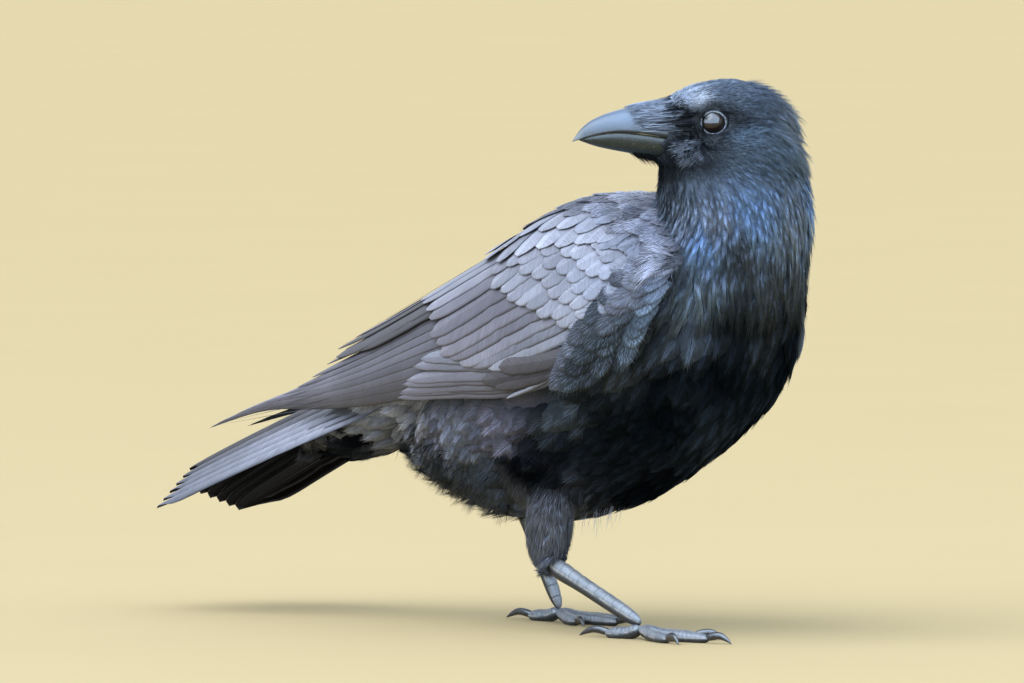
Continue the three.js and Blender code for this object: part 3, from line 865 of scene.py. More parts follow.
wingTree = treeOf(*[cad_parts[f"wing_{side}_{part}"] for side in sideSigns
                    for part in ("coverts", "secondaries", "primaries")])
areaSizes = {
    "underWing": 16, "eyeRing": 5.5, "headLow": (-21.5, -0.2), "headFloor": 203,
    "furrow": [(-8, 9), (-1.4, 11), (3.6, 12.6), (8, 18), (10.9, 22), (14, 26)],     # height, along
    "gapeRear": (6.5, -0.15), "gapeFront": 15, "gapeTall": (-16.5, -7.5), "gapeSide": 4,
    "napeFront": (-9, -0.35), "napeHigh": 17, "neckFrom": 62, "neckFloor": 150,
    "rearBelly": (-78, -6), "rearBellyHigh": 76, "rearBellyWide": 50,
    "shoulder": (-70, 62), "shoulderFloor": 106, "shoulderSide": 30,
    "thighs": {"right": ((20, -28, 74), (18, -29, 25.5)), "left": ((-24, 27, 84), (-52, 28, 56))},
    "thighWide": (20, 16), "thighTop": -0.2,
}


def inCrow(points):
    return (points - np.array(crowZero)) / mm


def inHead(points):
    away = (points - np.array(headMiddle)) / mm
    return np.stack([away @ np.array(way) for way in (headFront, headLeft, headUp)], 1)


def underWing(points, normals):
    covered = []
    for point, normal in zip(points, normals):
        start = Vector(point) - Vector(normal) * mm
        hit = wingTree.ray_cast(start, Vector(normal), areaSizes["underWing"] * mm)[0]
        covered.append(hit is not None)
    return np.array(covered)


def fromEyes(points):
    gaps = []
    for side, middle in eyeMiddles.items():
        away = (points - np.array(middle)) / mm
        left = away @ np.array(headLeft)
        around = np.linalg.norm(away - np.outer(left, np.array(headLeft)), axis=1)
        gaps.append(np.where(left * sideSigns[side] > 0, around, 99))      # each side has its own eye
    return np.minimum(*gaps)


def aheadOfFurrow(points):
    x, y, z = inHead(points).T
    heights, edges = zip(*areaSizes["furrow"])
    return (z > heights[0]) & (x > np.interp(z, heights, edges))


def between(values, span):
    return (values > span[0]) & (values < span[1])


def onGape(points):
    x, y, z = inHead(points).T
    rear, slope = areaSizes["gapeRear"]
    long = (x > rear + slope * (z + 8)) & (x < areaSizes["gapeFront"])
    return long & between(z, areaSizes["gapeTall"]) & (np.abs(y) > areaSizes["gapeSide"])


def onHeadCoat(points):
    x, y, z = inHead(points).T
    low, slope = areaSizes["headLow"]
    above = (z > low + slope * x) & (inCrow(points)[:, 2] > areaSizes["headFloor"])
    return above & (fromEyes(points) > areaSizes["eyeRing"]) & ~aheadOfFurrow(points) & ~onGape(points)


def onThigh(points):
    close = np.zeros(len(points), bool)
    for top, low in areaSizes["thighs"].values():
        a, b = np.array(crowPoint(*top)), np.array(crowPoint(*low))
        share = np.minimum(((points - a) @ (b - a)) / ((b - a) @ (b - a)), 1)
        gap = np.linalg.norm(points - (a + share[:, None] * (b - a)), axis=1)
        close |= (gap < mix(*areaSizes["thighWide"], ease(share)) * mm) & (share > areaSizes["thighTop"])
    return close


def onRearBelly(points):
    x, y, z = inCrow(points).T
    low = (z < areaSizes["rearBellyHigh"]) & (np.abs(y) < areaSizes["rearBellyWide"])
    return between(x, areaSizes["rearBelly"]) & low


def underShoulder(points):      # skin that only the wings show over
    x, y, z = inCrow(points).T
    high = (z > areaSizes["shoulderFloor"]) & (np.abs(y) > areaSizes["shoulderSide"])
    return between(x, areaSizes["shoulder"]) & high


def onNape(points):
    x, y, z = inHead(points).T
    front, slope = areaSizes["napeFront"]
    return (x < front + slope * np.maximum(z + 8, 0)) & (z < areaSizes["napeHigh"])


def onNeck(points):
    x, y, z = inCrow(points).T
    return (x > areaSizes["neckFrom"]) & (z > areaSizes["neckFloor"])


def skinNear(place, reach):
    return np.linalg.norm(triangleMiddles - np.array(place), axis=1) < reach * mm


wingCovered = underWing(triangleMiddles, triangleNormals)
headArea = onHeadCoat(triangleMiddles)
crownArea = inHead(triangleMiddles)[:, 2] > 0
thighArea = onThigh(triangleMiddles)
neckArea = ~headArea & ~wingCovered & onNeck(triangleMiddles)
bodyArea = ~headArea & ~neckArea & ~thighArea & ~wingCovered & ~underShoulder(triangleMiddles)
print("coat areas ready")

# Head: short hair-like feathers, with pointed ones down the nape

headSizes = {"long": 6.0, "half": 0.3, "thick": 0.22}
headPlanting = {"vary": 0.25, "stray": 0.13, "lift": 0.95, "sink": 0.2, "clump": 2.4,
                "grow": lambda p: (mix(0.5, 1.15, ease((10 - inHead(p)[:, 0]) / 30))
                                   * mix(0.4, 1, ease((fromEyes(p) - 5.5) / 9)))}
for number, (half, area) in enumerate((("crown", crownArea), ("face", ~crownArea))):
    spots = scatter(11 + number, headArea & area, density=2.8)
    plant(half + "_feathers", [lock(headSizes)], *spots, headPlanting, 13 + number, plumage["hair"])

napeSizes = {"long": 11, "half": 1.5, "strands": 7, "thick": 0.26}
napePlanting = {"vary": 0.25, "stray": 0.2, "lift": 4.4, "sink": 0.3, "clump": 3,
                "grow": lambda p: mix(0.55, 1.1, ease((-8 - inHead(p)[:, 0]) / 20))}
spots = scatter(16, headArea & onNape(triangleMiddles), spacing=2.0)
hackles = [hackle(seed, napeSizes) for seed in (17, 18)]
plant("nape_feathers", hackles, *spots, napePlanting, 19, plumage["hair"])

# Neck: pointed hackles

neckPlanting = {"vary": 0.25, "stray": 0.15, "lift": 2.9, "sink": 0.4, "clump": 4,
                "grow": lambda p: mix(1.15, 0.52, ease((inCrow(p)[:, 2] - 150) / 62))}
hackles = [hackle(seed, hackleSizes) for seed in (21, 22, 23)]
spots = scatter(24, neckArea, spacing=2.35)
plant("neck_hackles", hackles, *spots, neckPlanting, 25, plumage["hair"])

# Body: broad contour feathers, each with two layers of barbs

bodyPlanting = {"vary": 0.18, "stray": 0.13, "lift": 2.3, "sink": 0.5, "wrap": True, "clump": 9}
bodyTones = {"vane": 0.75, "barbs": 1.2}
vanes = [contourVane({**contourSizes, "sweep": sweep}) for sweep in (1.2, 1.6, 2.0)]
spots = scatter(34, bodyArea, spacing=5.4)
bodyHues = blendAt(spots[0], markingsAndPaintedLight)
plant("body_feathers", vanes, *spots, bodyPlanting, 35, plumage["body"], bodyHues * bodyTones["vane"])
for layer in range(2):
    barbs = [fringe(31 + layer * 3 + k, fringeSizes) for k in range(3)]
    plant(f"body_fringes_{layer + 1}", barbs, *spots, bodyPlanting, 35, plumage["hair"],
          bodyHues * bodyTones["barbs"])

# Thighs: fine short feathers that point down

thighSizes = {"long": 9.5, "half": 0.34, "thick": 0.25}
thighPlanting = {"vary": 0.25, "stray": 0.1, "lift": 2.4, "sink": 0.2, "clump": 3}
spots = scatter(41, thighArea & ~wingCovered, density=2.4)
plant("thigh_feathers", [lock(thighSizes)], *spots, thighPlanting, 42, plumage["hair"])

# Pointed tufts along the belly's rear edge

tuftSizes = {"long": 21, "half": 2.8, "strands": 11, "thick": 0.26}
tuftPlanting = {"vary": 0.3, "stray": 0.2, "lift": 7.5, "sink": 0.3, "clump": 6}
spots = scatter(44, bodyArea & onRearBelly(triangleMiddles), spacing=5.0)
tufts = [hackle(seed, tuftSizes) for seed in (45, 46)]
plant("belly_tufts", tufts, *spots, tuftPlanting, 47, plumage["hair"])

# Loose hairs under the chin and along the belly

looseHairs = {
    "chin_hairs": {"near": headPoint(18, 0, -25), "within": 11, "density": 0.3, "tone": "soot",
                   "lock": {"long": 8, "half": 0.17, "thick": 0.15}, "lift": 1.6},
    "belly_hairs": {"near": crowPoint(-50, -8, 62), "within": 40, "density": 0.13, "tone": "soot",
                    "lock": {"long": 17, "half": 0.22, "thick": 0.18}, "lift": 6.0},
}
for number, (name, hair) in enumerate(looseHairs.items()):
    spots = scatter(210 + number, skinNear(hair["near"], hair["within"]), density=hair["density"])
    planting = {"vary": 0.3, "stray": 0.3, "lift": hair["lift"], "sink": 0.2}
    plant(name, [lock(hair["lock"])], *spots, planting, 220 + number, plumage["hair"],
          palette[hair["tone"]])

# Pale down that hangs between the legs

wispSizes = {"near": (31, -2, 51), "within": 12, "density": 0.16, "long": (9, 17), "sway": 0.16,
             "hair": {"long": 14, "half": 0.09, "thick": 0.07, "cuts": 3}}


def makeWisps():
    size = wispSizes
    area = skinNear(crowPoint(*size["near"]), size["within"])
    roots, normals = scatter(215, area, density=size["density"])
    draw = np.random.default_rng(216)
    long = draw.uniform(*size["long"], len(roots))[:, None] * mm
    sway = draw.normal(0, size["sway"], (2, len(roots), 3))
    bends = roots + (sway[0] * 0.5 + np.array([-0.2, 0, -0.45])) * long
    ends = roots + (sway[1] * 0.6 + np.array([-0.25, 0, -0.95])) * long
    layLocks("down_wisps", size["hair"], roots, bends, ends, normals, palette["white"], 217)


makeWisps()

# Wings: every feather lies on one tapering surface round the body. A place on it is an x and a
# turn, the degrees up from the body's side; out is the height above the surface.

wingSurface = [   # x, middle height, half width, half height
    (-222, 79, 12, 6), (-160, 96, 23, 15), (-120, 101, 33, 27), (-86, 106, 42, 36.5),
    (-49, 113, 51, 47), (-12, 120, 59, 58), (24, 126, 63, 69), (66, 135, 62, 60),
    (100, 145, 54, 43), (118, 150, 44, 30),
]


def onWing(sign, x, turn, out):
    angle = np.radians(turn)
    wide = smoothThrough(wingSurface, 2, x) + out
    tall = smoothThrough(wingSurface, 3, x) + out
    y = sign * wide * np.cos(angle)
    z = smoothThrough(wingSurface, 1, x) + tall * np.sin(angle)
    return np.stack((x, y, z), -1) * mm + np.array(crowZero)


vaneShapes = {
    "flight": {"columns": 8, "rows": 22, "quill": 0.3, "full": 0.25, "round": 0.8, "blunt": 2.0,
               "arch": 0.5, "sweep": 3.0, "inner": 7.5, "outer": 6.0, "long": 120, "thick": 0.25},
    "blade": {"columns": 8, "rows": 26, "quill": 0.35, "full": 0.2, "round": 0.55, "blunt": 1.7,
              "arch": 0.7, "sweep": 4.0, "inner": 7.0, "outer": 3.6, "long": 190, "thick": 0.28},
    "covert": {"columns": 8, "rows": 12, "quill": 0.5, "full": 0.35, "round": 0.62, "blunt": 2.5,
               "arch": 0.55, "sweep": 1.2, "inner": 6.5, "outer": 6.0, "long": 30, "thick": 0.14},
    "breast": {"columns": 6, "rows": 8, "quill": 0.35, "full": 0.45, "round": 0.42, "blunt": 2.0,
               "arch": 0.35, "sweep": 1.6, "inner": 5.2, "outer": 5.2, "long": 22, "thick": 0.1},
}


def quillVane(size, seed):
    draw = np.random.default_rng(seed)
    bm = bmesh.new()
    closedVane(bm, size)
    notches = draw.uniform(0.35, 0.97, 3)
    for vertex in bm.verts:      # small splits where barbs have come apart at the edge
        share = vertex.co.y / size["long"]
        edge = abs(vertex.co.x) / size["inner"]
        if edge > 0.6:
            near = min(abs(share - n) for n in notches)
            vertex.co.x *= 1 - 0.1 * max(0, 1 - near / 0.04)
    shaft = size["long"] * 0.97
    thick = 0.012 * size["inner"] + 0.2
    made = bmesh.ops.create_cone(bm, cap_ends=True, segments=5, radius1=thick, radius2=0.04, depth=shaft)
    for vertex in made["verts"]:
        x, y, z = vertex.co
        vertex.co = Vector((x, z + shaft / 2, y * 0.7 + size["arch"]))
    return templateOf(bm, size["long"], size["inner"])


softSizes = {"barbs": 90, "long": 24, "half": 6.2, "thick": 0.2, "reach": (5.5, 9.5), "from": 0.05,
             "to": 0.84, "lean": 0.75, "above": 0.55}


# Barbs all over a soft feather, spreading past its edges
def softBarbs(seed, sizes):
    draw = np.random.default_rng(seed)
    bm = bmesh.new()
    for k in range(sizes["barbs"]):
        share = (k + draw.uniform(0, 1)) / sizes["barbs"]
        place = draw.uniform(-0.8, 0.8) * (1 - 0.6 * share ** 3)
        lean = sizes["lean"] * place + draw.normal(0, 0.1)
        start = (place * sizes["half"], sizes["long"] * mix(sizes["from"], sizes["to"], share),
                 sizes["above"] * (1 - place ** 2))
        way = (math.sin(lean), math.cos(lean), -0.02)
        addStrand(bm, start, way, draw.uniform(*sizes["reach"]) * (1 - 0.3 * share), sizes["thick"])
    return templateOf(bm, sizes["long"], sizes["half"], True)


wingVanes = {kind: [quillVane(size, seed) for seed in (51, 52, 53)] for kind, size in vaneShapes.items()}
wingVanes["fringe"] = [softBarbs(seed, softSizes) for seed in (54, 55, 56)]


def alongPath(stops, shares):
    stops = np.array(stops, float)
    places = np.linspace(0, 1, len(stops))
    return np.stack([np.interp(shares, places, column) for column in stops.T], -1)


drawnIn = {"right": 0, "left": 5.5, "from": 80, "over": 20}      # the left shoulder lies closer in


def layRow(side, row, seed):
    sign = sideSigns[side]
    draw = np.random.default_rng(seed)
    count = row["count"]
    shares = np.linspace(0, 1, count)
    tips = alongPath(row["tips"], shares)
    roots = tips + np.array(row["behind"]) if "behind" in row else alongPath(row["roots"], shares)
    tips = tips + draw.normal(0, 1, (count, 2)) * row["stray"]
    for spots in (tips, roots):
        spots[:, 0] -= drawnIn[side] * ease((spots[:, 0] - drawnIn["from"]) / drawnIn["over"])
    halves = alongPath([[half] for half in row["half"]], shares)
    heights = alongPath(row["out"], shares)
    middle, turned = (roots[:, 0] + tips[:, 0]) / 2, np.radians(tips[:, 1])
    radius = np.hypot(smoothThrough(wingSurface, 2, middle) * np.sin(turned),
                      smoothThrough(wingSurface, 3, middle) * np.cos(turned))[:, None]
    templates = wingVanes[row["kind"]]
    pick = draw.integers(0, len(templates), count)
    shade = draw.random(count)
    parts, sizes = [], np.ones(count)
    for shape, rows in picked(templates, pick):
        across = shape["points"][None, :, 0] / shape["half"]
        along = np.clip(shape["points"][None, :, 1] / shape["long"], 0, 1.4)
        root, tip = roots[rows], tips[rows]
        arc = np.radians(tip[:, 1:] - root[:, 1:]) * radius[rows]
        ahead = tip[:, :1] - root[:, :1]
        length = np.hypot(ahead, arc)
        shift = across * halves[rows]
        x = root[:, :1] + ahead * along + arc / length * shift
        turn = root[:, 1:] + (tip[:, 1:] - root[:, 1:]) * along ** row.get("curve", 1.0)
        turn = turn + np.degrees(-ahead / length * shift / radius[rows])
        height = mix(heights[rows][:, :1], heights[rows][:, 1:], along) - row["tilt"] * across
        parts.append((onWing(sign, x, turn, height + shape["points"][None, :, 2]), shape, rows))
        sizes[rows] = length[:, 0] / shape["long"]
    hues = alongPath([palette[tone] for tone in row["tones"]], shares) * draw.uniform(0.9, 1.1, (count, 1))
    places = unrolled(onWing(sign, roots[:, 0], roots[:, 1], np.zeros(count)))
    return parts, sizes, shade, hues, places


# What the rows of one kind share; a row is laid from its first feather to its last, a tip being an x
# and a turn, "behind" the way from a tip back to its root, and "out" the height at root and tip
rowKinds = {
    "covert": {"kind": "covert", "tones": ["lavender", "lavender"]},
    "lesser": {"kind": "covert", "tones": ["dusk", "mantle"]},
    "scapular": {"kind": "covert", "half": [8, 9.5], "tones": ["dusk", "mantle", "mantle", "lavender"]},
    "mantle": {"kind": "breast", "half": [7, 8], "tilt": 0.3, "stray": 2.2,
               "tones": ["dusk", "mantle", "mantle"]},
    "front": {"kind": "breast", "half": [6.8, 7.6], "tilt": 0.3, "stray": 2.0},
}
wingRows = {
    "primaries": {
        "kind": "blade", "count": 10, "roots": [(6, -6), (6, 48)], "half": [6.5, 7.5],
        "tips": [(-206, -5), (-204, -2), (-198, 2), (-180, 6), (-157, 10), (-143, 16), (-131, 24),
                 (-122, 36), (-112, 50)],
        "out": [(-3, -1.4)] * 2, "tilt": 1.14, "curve": 2.0, "tones": ["smoke", "fawn", "smoke"],
        "stray": 0, "seed": 0},
    "primary_coverts": {
        "kind": "covert", "count": 7, "tips": [(-55, -8.5), (-53, -5), (-48, 0), (-36, 9)],
        "roots": [(50, -13), (50, -3)], "half": [3.6, 5.0], "out": [(-1.4, 0.4), (-1.2, 0.6)],
        "tilt": 0.9, "tones": ["fawn", "fawn", "lavender"], "stray": 0.8, "seed": 0},
    "alula": {
        "kind": "covert", "count": 3, "tips": [(16, -9.5), (8, -7), (20, -3)],
        "roots": [(64, -9), (64, -5)],
        "half": [4.5, 5.5], "out": [(-0.4, 1.6), (-0.2, 1.6)], "tilt": 0.6, "tones": ["smoke", "smoke"],
        "stray": 0.3, "seed": 1},
    "thin_feather": {
        "kind": "blade", "count": 1, "tips": [(23, -15)], "roots": [(60, -9)], "half": [1.7],
        "out": [(-1.0, 1.4)], "tilt": 0.18, "tones": ["lavender"], "stray": 0, "curve": 0.6, "seed": 2},
    "long_secondaries": {
        "kind": "flight", "count": 5, "tips": [(-98, 37), (-113, 40), (-118, 52), (-112, 64), (-100, 76)],
        "roots": [(10, 44), (10, 78)], "half": [10, 11], "out": [(-1.6, -0.2), (-1.4, 0.1)],
        "tilt": 0.96, "tones": ["smoke", "smoke", "fawn"], "stray": 0.9, "seed": 0},
    "secondaries": {
        "kind": "flight", "count": 11, "roots": [(72, 7), (60, 32), (40, 66)], "half": [7, 8.5, 10.5, 10.5],
        "tips": [(11, -2.5), (-1, 0), (-13, 2), (-20, 5.5), (-26, 12), (-34, 24), (-41, 33.5), (-50, 44),
                 (-60, 56)],
        "out": [(-1.0, 1.0), (-1.0, 1.2)], "tilt": 0.96, "tones": ["lavender", "fawn", "fawn", "mantle"],
        "stray": 1.3, "seed": 1},
    "greater_coverts": {
        **rowKinds["covert"], "count": 11, "behind": (27, 16), "half": [7.5, 9], "out": [(-0.4, 1.7)] * 2,
        "tips": [(66, 2), (60, 7), (52, 9.5), (43, 13), (34, 16), (25, 20), (17, 24.5), (8, 31.5), (0, 38)],
        "tilt": 0.78, "stray": 1.2, "seed": 0},
    "median_coverts": {
        **rowKinds["covert"], "count": 10, "behind": (19, 15), "half": [7, 8.5], "out": [(0, 2.3)] * 2,
        "tips": [(74, 7), (62, 14), (51, 20), (38, 25), (24, 32), (12, 38)], "tilt": 0.66, "stray": 1.5,
        "seed": 1},
    "lesser_coverts_1": {
        **rowKinds["lesser"], "count": 9, "behind": (14, 13), "half": [6.5, 7.8], "out": [(0.2, 2.6)] * 2,
        "tips": [(84, 8), (76, 14), (62, 22), (48, 28), (32, 36)], "tilt": 0.54, "stray": 1.8,
        "tones": ["dusk", "lavender"], "seed": 1},
    "lesser_coverts_2": {
        **rowKinds["lesser"], "count": 7, "behind": (13, 12), "half": [6.5, 7.6], "out": [(0.4, 2.8)] * 2,
        "tips": [(88, 15), (74, 25), (60, 32), (46, 38)], "tilt": 0.48, "stray": 1.8, "seed": 2},
    "lesser_coverts_3": {
        **rowKinds["lesser"], "count": 6, "behind": (11, 12), "half": [6.2, 7.2], "out": [(0.4, 2.9)] * 2,
        "tips": [(88, 24), (80, 29), (70, 35), (60, 40)], "tilt": 0.42, "stray": 1.6, "seed": 3},
    "lesser_coverts_4": {
        **rowKinds["lesser"], "count": 5, "behind": (9, 11), "half": [6, 7], "out": [(0.4, 3.0)] * 2,
        "tips": [(90, 32), (82, 38), (72, 43)], "tilt": 0.42, "stray": 1.5, "tones": ["dusk", "dusk"],
        "seed": 4},
    "scapulars_1": {
        **rowKinds["scapular"], "count": 9, "behind": (4, 25), "out": [(0, 3.3)] * 2, "tilt": 0.5,
        "tips": [(70, 42), (64, 42), (58, 42), (49, 39.5), (38, 39.5), (26, 39), (10, 42.5), (-8, 48)],
        "stray": 1.3, "seed": 1},
    "scapulars_2": {
        **rowKinds["scapular"], "count": 7, "behind": (5, 23), "out": [(0.3, 3.4)] * 2, "tilt": 0.45,
        "tips": [(56, 50), (48, 49), (34, 48), (20, 48), (4, 52), (-14, 58)], "stray": 1.6, "seed": 2},
    "mantle_1": {
        **rowKinds["mantle"], "count": 9, "behind": (11, 14), "out": [(0.3, 3.6), (0.3, 3.4)],
        "tips": [(92, 42), (84, 46), (74, 50), (62, 54)], "tones": ["dusk", "dusk", "mantle"], "seed": 1},
    "mantle_2": {
        **rowKinds["mantle"], "count": 13, "behind": (12, 15), "out": [(0.3, 3.4), (0.3, 3.2)],
        "tips": [(94, 52), (84, 57), (66, 60), (50, 59), (34, 60), (14, 63), (-8, 68)],
        "tones": ["dusk", "dusk", "mantle", "mantle"], "seed": 2},
    "mantle_3": {
        **rowKinds["mantle"], "count": 13, "behind": (14, 13), "out": [(0.3, 3.0), (0.3, 2.8)],
        "tips": [(92, 63), (80, 67), (62, 69), (44, 70), (22, 72), (0, 76)], "seed": 3},
    "mantle_4": {
        **rowKinds["mantle"], "count": 11, "behind": (15, 10), "out": [(0.3, 2.6), (0.3, 2.4)],
        "tips": [(88, 76), (70, 79), (50, 80), (26, 82), (6, 84)], "seed": 4},
    "front_1": {
        **rowKinds["front"], "count": 10, "behind": (17, 10), "out": [(0.4, 3.4), (0.4, 3.2)],
        "tips": [(86, 30), (80, 21), (74, 10), (67, 2), (60, -7), (55, -14)],
        "tones": ["dusk", "slate", "dusk"], "seed": 1},
    "front_2": {
        **rowKinds["front"], "count": 10, "behind": (15, 10), "out": [(0.6, 3.8), (0.6, 3.6)],
        "tips": [(93, 30), (90, 19), (84, 8), (76, 0), (66, -10), (60, -18)],
        "tones": ["dusk", "dusk", "slate", "slate"], "seed": 2},
    "front_3": {
        **rowKinds["front"], "count": 9, "tips": [(95, 24), (93, 12), (87, 0), (78, -12), (71, -21)],
        "behind": (8, 14), "half": [6.6, 7.4], "out": [(0.4, 2.8)] * 2, "tones": ["dusk", "slate", "slate"],
        "seed": 3},
    "front_4": {
        **rowKinds["front"], "count": 9, "tips": [(100, 20), (100, 8), (98, -4), (93, -14), (88, -22)],
        "behind": (3, 18), "half": [5.6, 6.4], "out": [(0.2, 2.6), (0.2, 2.4)],
        "tones": ["throat", "breast", "slate"], "stray": 1.8, "seed": 4},
}
lesserRows = [f"lesser_coverts_{k}" for k in (1, 2, 3, 4)]
mantleRows = [f"mantle_{k}" for k in (4, 3, 2, 1)]
frontRows = [f"front_{k}" for k in (1, 2, 3, 4)]
wingPieces = {     # a piece's rows, its material and share of their tones, and the node that it stands for
    "primaries_feathers": {"rows": ["primaries"], "seed": 60, "node": "primaries"},
    "primary_coverts_feathers": {"rows": ["primary_coverts", "alula", "thin_feather"], "seed": 70,
                                 "node": "primary_coverts"},
    "secondaries_feathers": {"rows": ["long_secondaries", "secondaries"], "seed": 80,
                             "node": "secondaries"},
    "coverts_feathers": {"rows": ["greater_coverts", "median_coverts", *lesserRows], "seed": 90},
    "scapulars_feathers": {"rows": ["scapulars_1", "scapulars_2"], "seed": 100},
    "mantle_feathers": {"rows": mantleRows, "seed": 100, "finish": "body", "tone": 0.62},
    "mantle_fringes": {"rows": [*mantleRows, lesserRows[3]], "seed": 100, "finish": "hair", "tone": 0.95},
    "front_feathers": {"rows": frontRows, "seed": 110, "finish": "body", "tone": 0.6},
    "front_fringes": {"rows": frontRows, "seed": 110, "finish": "hair", "tone": 0.95},
}


def makeWing(side):
    for name, piece in wingPieces.items():
        kind = {"kind": "fringe"} if name.endswith("fringes") else {}
        rows = [{**wingRows[row], **kind} for row in piece["rows"]]
        laid = [layRow(side, row, piece["seed"] + row["seed"]) for row in rows]
        parts, start = [], 0
        for row in laid:
            parts += [(points, shape, chosen + start) for points, shape, chosen in row[0]]
            start += len(row[1])
        sizes, shade, hues, places = (np.concatenate([row[i] for row in laid]) for i in (1, 2, 3, 4))
        replaced = [f"wing_{side}_{piece['node']}"] if "node" in piece else ()
        joinCopies(f"wing_{side}_{name}", parts, sizes, shade, hues * piece.get("tone", 1), places,
                   plumage[piece.get("finish", "wing")], replaced)


# Pale hairs that stand at the wing's bend

bendTuft = {"count": 130, "line": [(102, 41), (103, 36), (102.5, 29)], "long": (6, 13),
            "rise": (-1.7, 0.15), "out": (3.4, 5.4, 5.2),
            "hair": {"long": 9, "half": 0.16, "thick": 0.14, "cuts": 2}}


def makeTuft(side):
    size = bendTuft
    draw = np.random.default_rng(140)
    count = size["count"]
    share = draw.random(count) ** 1.3
    x, turn = alongPath(size["line"], share).T
    x, turn = x + draw.normal(0, 1.1, count), turn + draw.normal(0, 1.7, count)
    long = draw.uniform(*size["long"], count) * mix(1, 0.6, share)
    rise = mix(*size["rise"][::-1], ease(share * 1.6)) + draw.normal(0, 0.25, count)
    low, middle, high = size["out"]
    lines = [onWing(sideSigns[side], x - long * far, turn + rise * long * far, out)
             for far, out in ((0, low), (0.5, middle), (1, high))]
    outward = unit(lines[1] - onWing(sideSigns[side], x, turn, 0 * x))
    layLocks(f"wing_{side}_tuft", size["hair"], *lines, outward, palette["white"], 141)


for side in sideSigns:
    makeWing(side)
    makeTuft(side)

# Tail: twelve long feathers in two stacks, the middle pair on top

tailSizes = {     # pairs of values are for the right half and the left one, which hangs a little lower
    "root": (-62, 0, 129.5), "long": 176, "pairs": 6, "half": 13.5, "step": 1.6, "camber": 2, "bend": 3,
    "curl": 3.0, "curlFrom": 0.78, "inset": 0.45, "pitch": (21, 24.2), "spread": (1.55, 1.15),
    "droop": (4, 0), "slide": (0, 14), "layer": (3.1, 2.4), "shades": [0.9, 0.2, 0.8, 0.3, 0.7, 0.4],
}
tailShape = {"columns": 10, "rows": 26, "quill": 0.5, "full": 0.3, "round": 0.84, "blunt": 2.6,
             "arch": 0.4, "sweep": 5.0, "inner": 13.5, "outer": 13.5, "long": 176, "thick": 0.3}


def tailFeather(sign, pair, shape):
    size = tailSizes
    across = shape["points"][:, 0] / shape["half"]
    far = shape["points"][:, 1]
    share = np.clip(far / size["long"], 0, 1)
    half = int(sign > 0)
    spreading, drooping, pitch = (math.radians(size[key][half]) for key in ("spread", "droop", "pitch"))
    fan = spreading * (pair + size["inset"])
    sideways = across * size["half"] * 0.97 + size["half"] * 0.25
    out = size["step"] * pair + far * math.sin(fan) + sideways * math.cos(fan)
    out = np.maximum(out, 0.2) - size["slide"][half] * share
    crossing = (across + 1) / 2
    curl = size["curl"] * ease((crossing - size["curlFrom"]) / (1 - size["curlFrom"])) * ease(share / 0.3)
    out = out - 0.25 * curl
    stacked = size["layer"][half] * pair + size["camber"] * crossing ** 2 + size["bend"] * share ** 4 + curl
    low = -stacked - np.maximum(0, out) * math.tan(drooping) + shape["points"][:, 2]
    back = -far * math.cos(fan) + sideways * math.sin(fan)
    x = back * math.cos(pitch) - low * math.sin(pitch)
    z = back * math.sin(pitch) + low * math.cos(pitch)
    place = np.stack((x, sign * out, z), -1) + np.array(size["root"])
    return place * mm + np.array(crowZero)


def makeTail(side):
    sign = sideSigns[side]
    count = tailSizes["pairs"]
    shapes = [quillVane(tailShape, seed) for seed in (101, 102, 103)]
    parts = [(tailFeather(sign, pair, shapes[pair % 3])[None], shapes[pair % 3], np.array([pair]))
             for pair in range(count)]
    tones = [palette[tone] for tone in ("smoke", "lavender", "lavender")]
    places = np.array([[0.3 + 0.4 * (sign > 0), 0.02 + 0.01 * pair] for pair in range(count)])
    nodes = [f"tail_feather_{side}_{pair + 1}" for pair in range(count)]
    joinCopies(f"tail_{side}_feathers", parts, np.ones(count), np.array(tailSizes["shades"]),
               alongPath(tones, np.linspace(0, 1, count)), places, plumage["tail"], nodes)


for side in sideSigns:
    makeTail(side)

print("coat ready")

# Bill: two horn halves in the head's directions, the upper one hooked over the lower

billSizes = {
    "back": 6, "upperTip": 62, "lowerTip": 59, "gap": 0.12, "tuck": 0.5, "keen": 0.1,
    "ends": (14, 7),
    "ridge": [(6, 9.5, 10), (20, 9.2, 8.8), (31, 7.6, 7.4), (41, 5.4, 6), (49, 2.9, 4.7), (55, 0, 3.3),
              (59.5, -3.6, 1.9), (62, -6.8, 0.8)],     # along, height, half width
    "meeting": [(6, -9.4), (22, -6.5), (33, -4.9), (44, -4.3), (53, -5.8), (62, -8.6)],
    "keel": [(6, -18.5, 9), (25, -15.6, 7.2), (40, -13, 5.2), (50, -11, 3.7), (59, -8.9, 1.6)],
}


# Towards its top each half takes its high tone: on the upper half a painted pale blue sky
# darker low tone.
# reflection along the ridge, on the lower half a paler band. Towards its bottom each half takes its
hornLooks = {
    "upperHorn": {"dark": (0.026, 0.036, 0.050, 1), "light": (0.048, 0.066, 0.092, 1),
                  "low": (0.020, 0.028, 0.034, 1), "lowLevel": (0.2265, 0.2335),
                  "high": (0.110, 0.165, 0.270, 1), "highLevel": (0.228, 0.237)},
    "lowerHorn": {"dark": (0.010, 0.016, 0.014, 1), "light": (0.020, 0.028, 0.026, 1),
                  "low": (0.006, 0.009, 0.008, 1), "lowLevel": (0.215, 0.221),
                  "high": (0.045, 0.062, 0.082, 1), "highLevel": (0.2255, 0.229)},
}
# The first tone is a painted shadow line along the edge where the halves meet; the other tones are wear.
hornMarks = {
    "meetingShade": (0.008, 0.010, 0.012, 1), "worn": (0.28, 0.21, 0.17, 1), "chip": (0.22, 0.20, 0.19, 1),
    "tip": (0.30, 0.31, 0.33, 1), "wornMiddle": 4.7, "tipFrom": (5.7, 6.15),
}


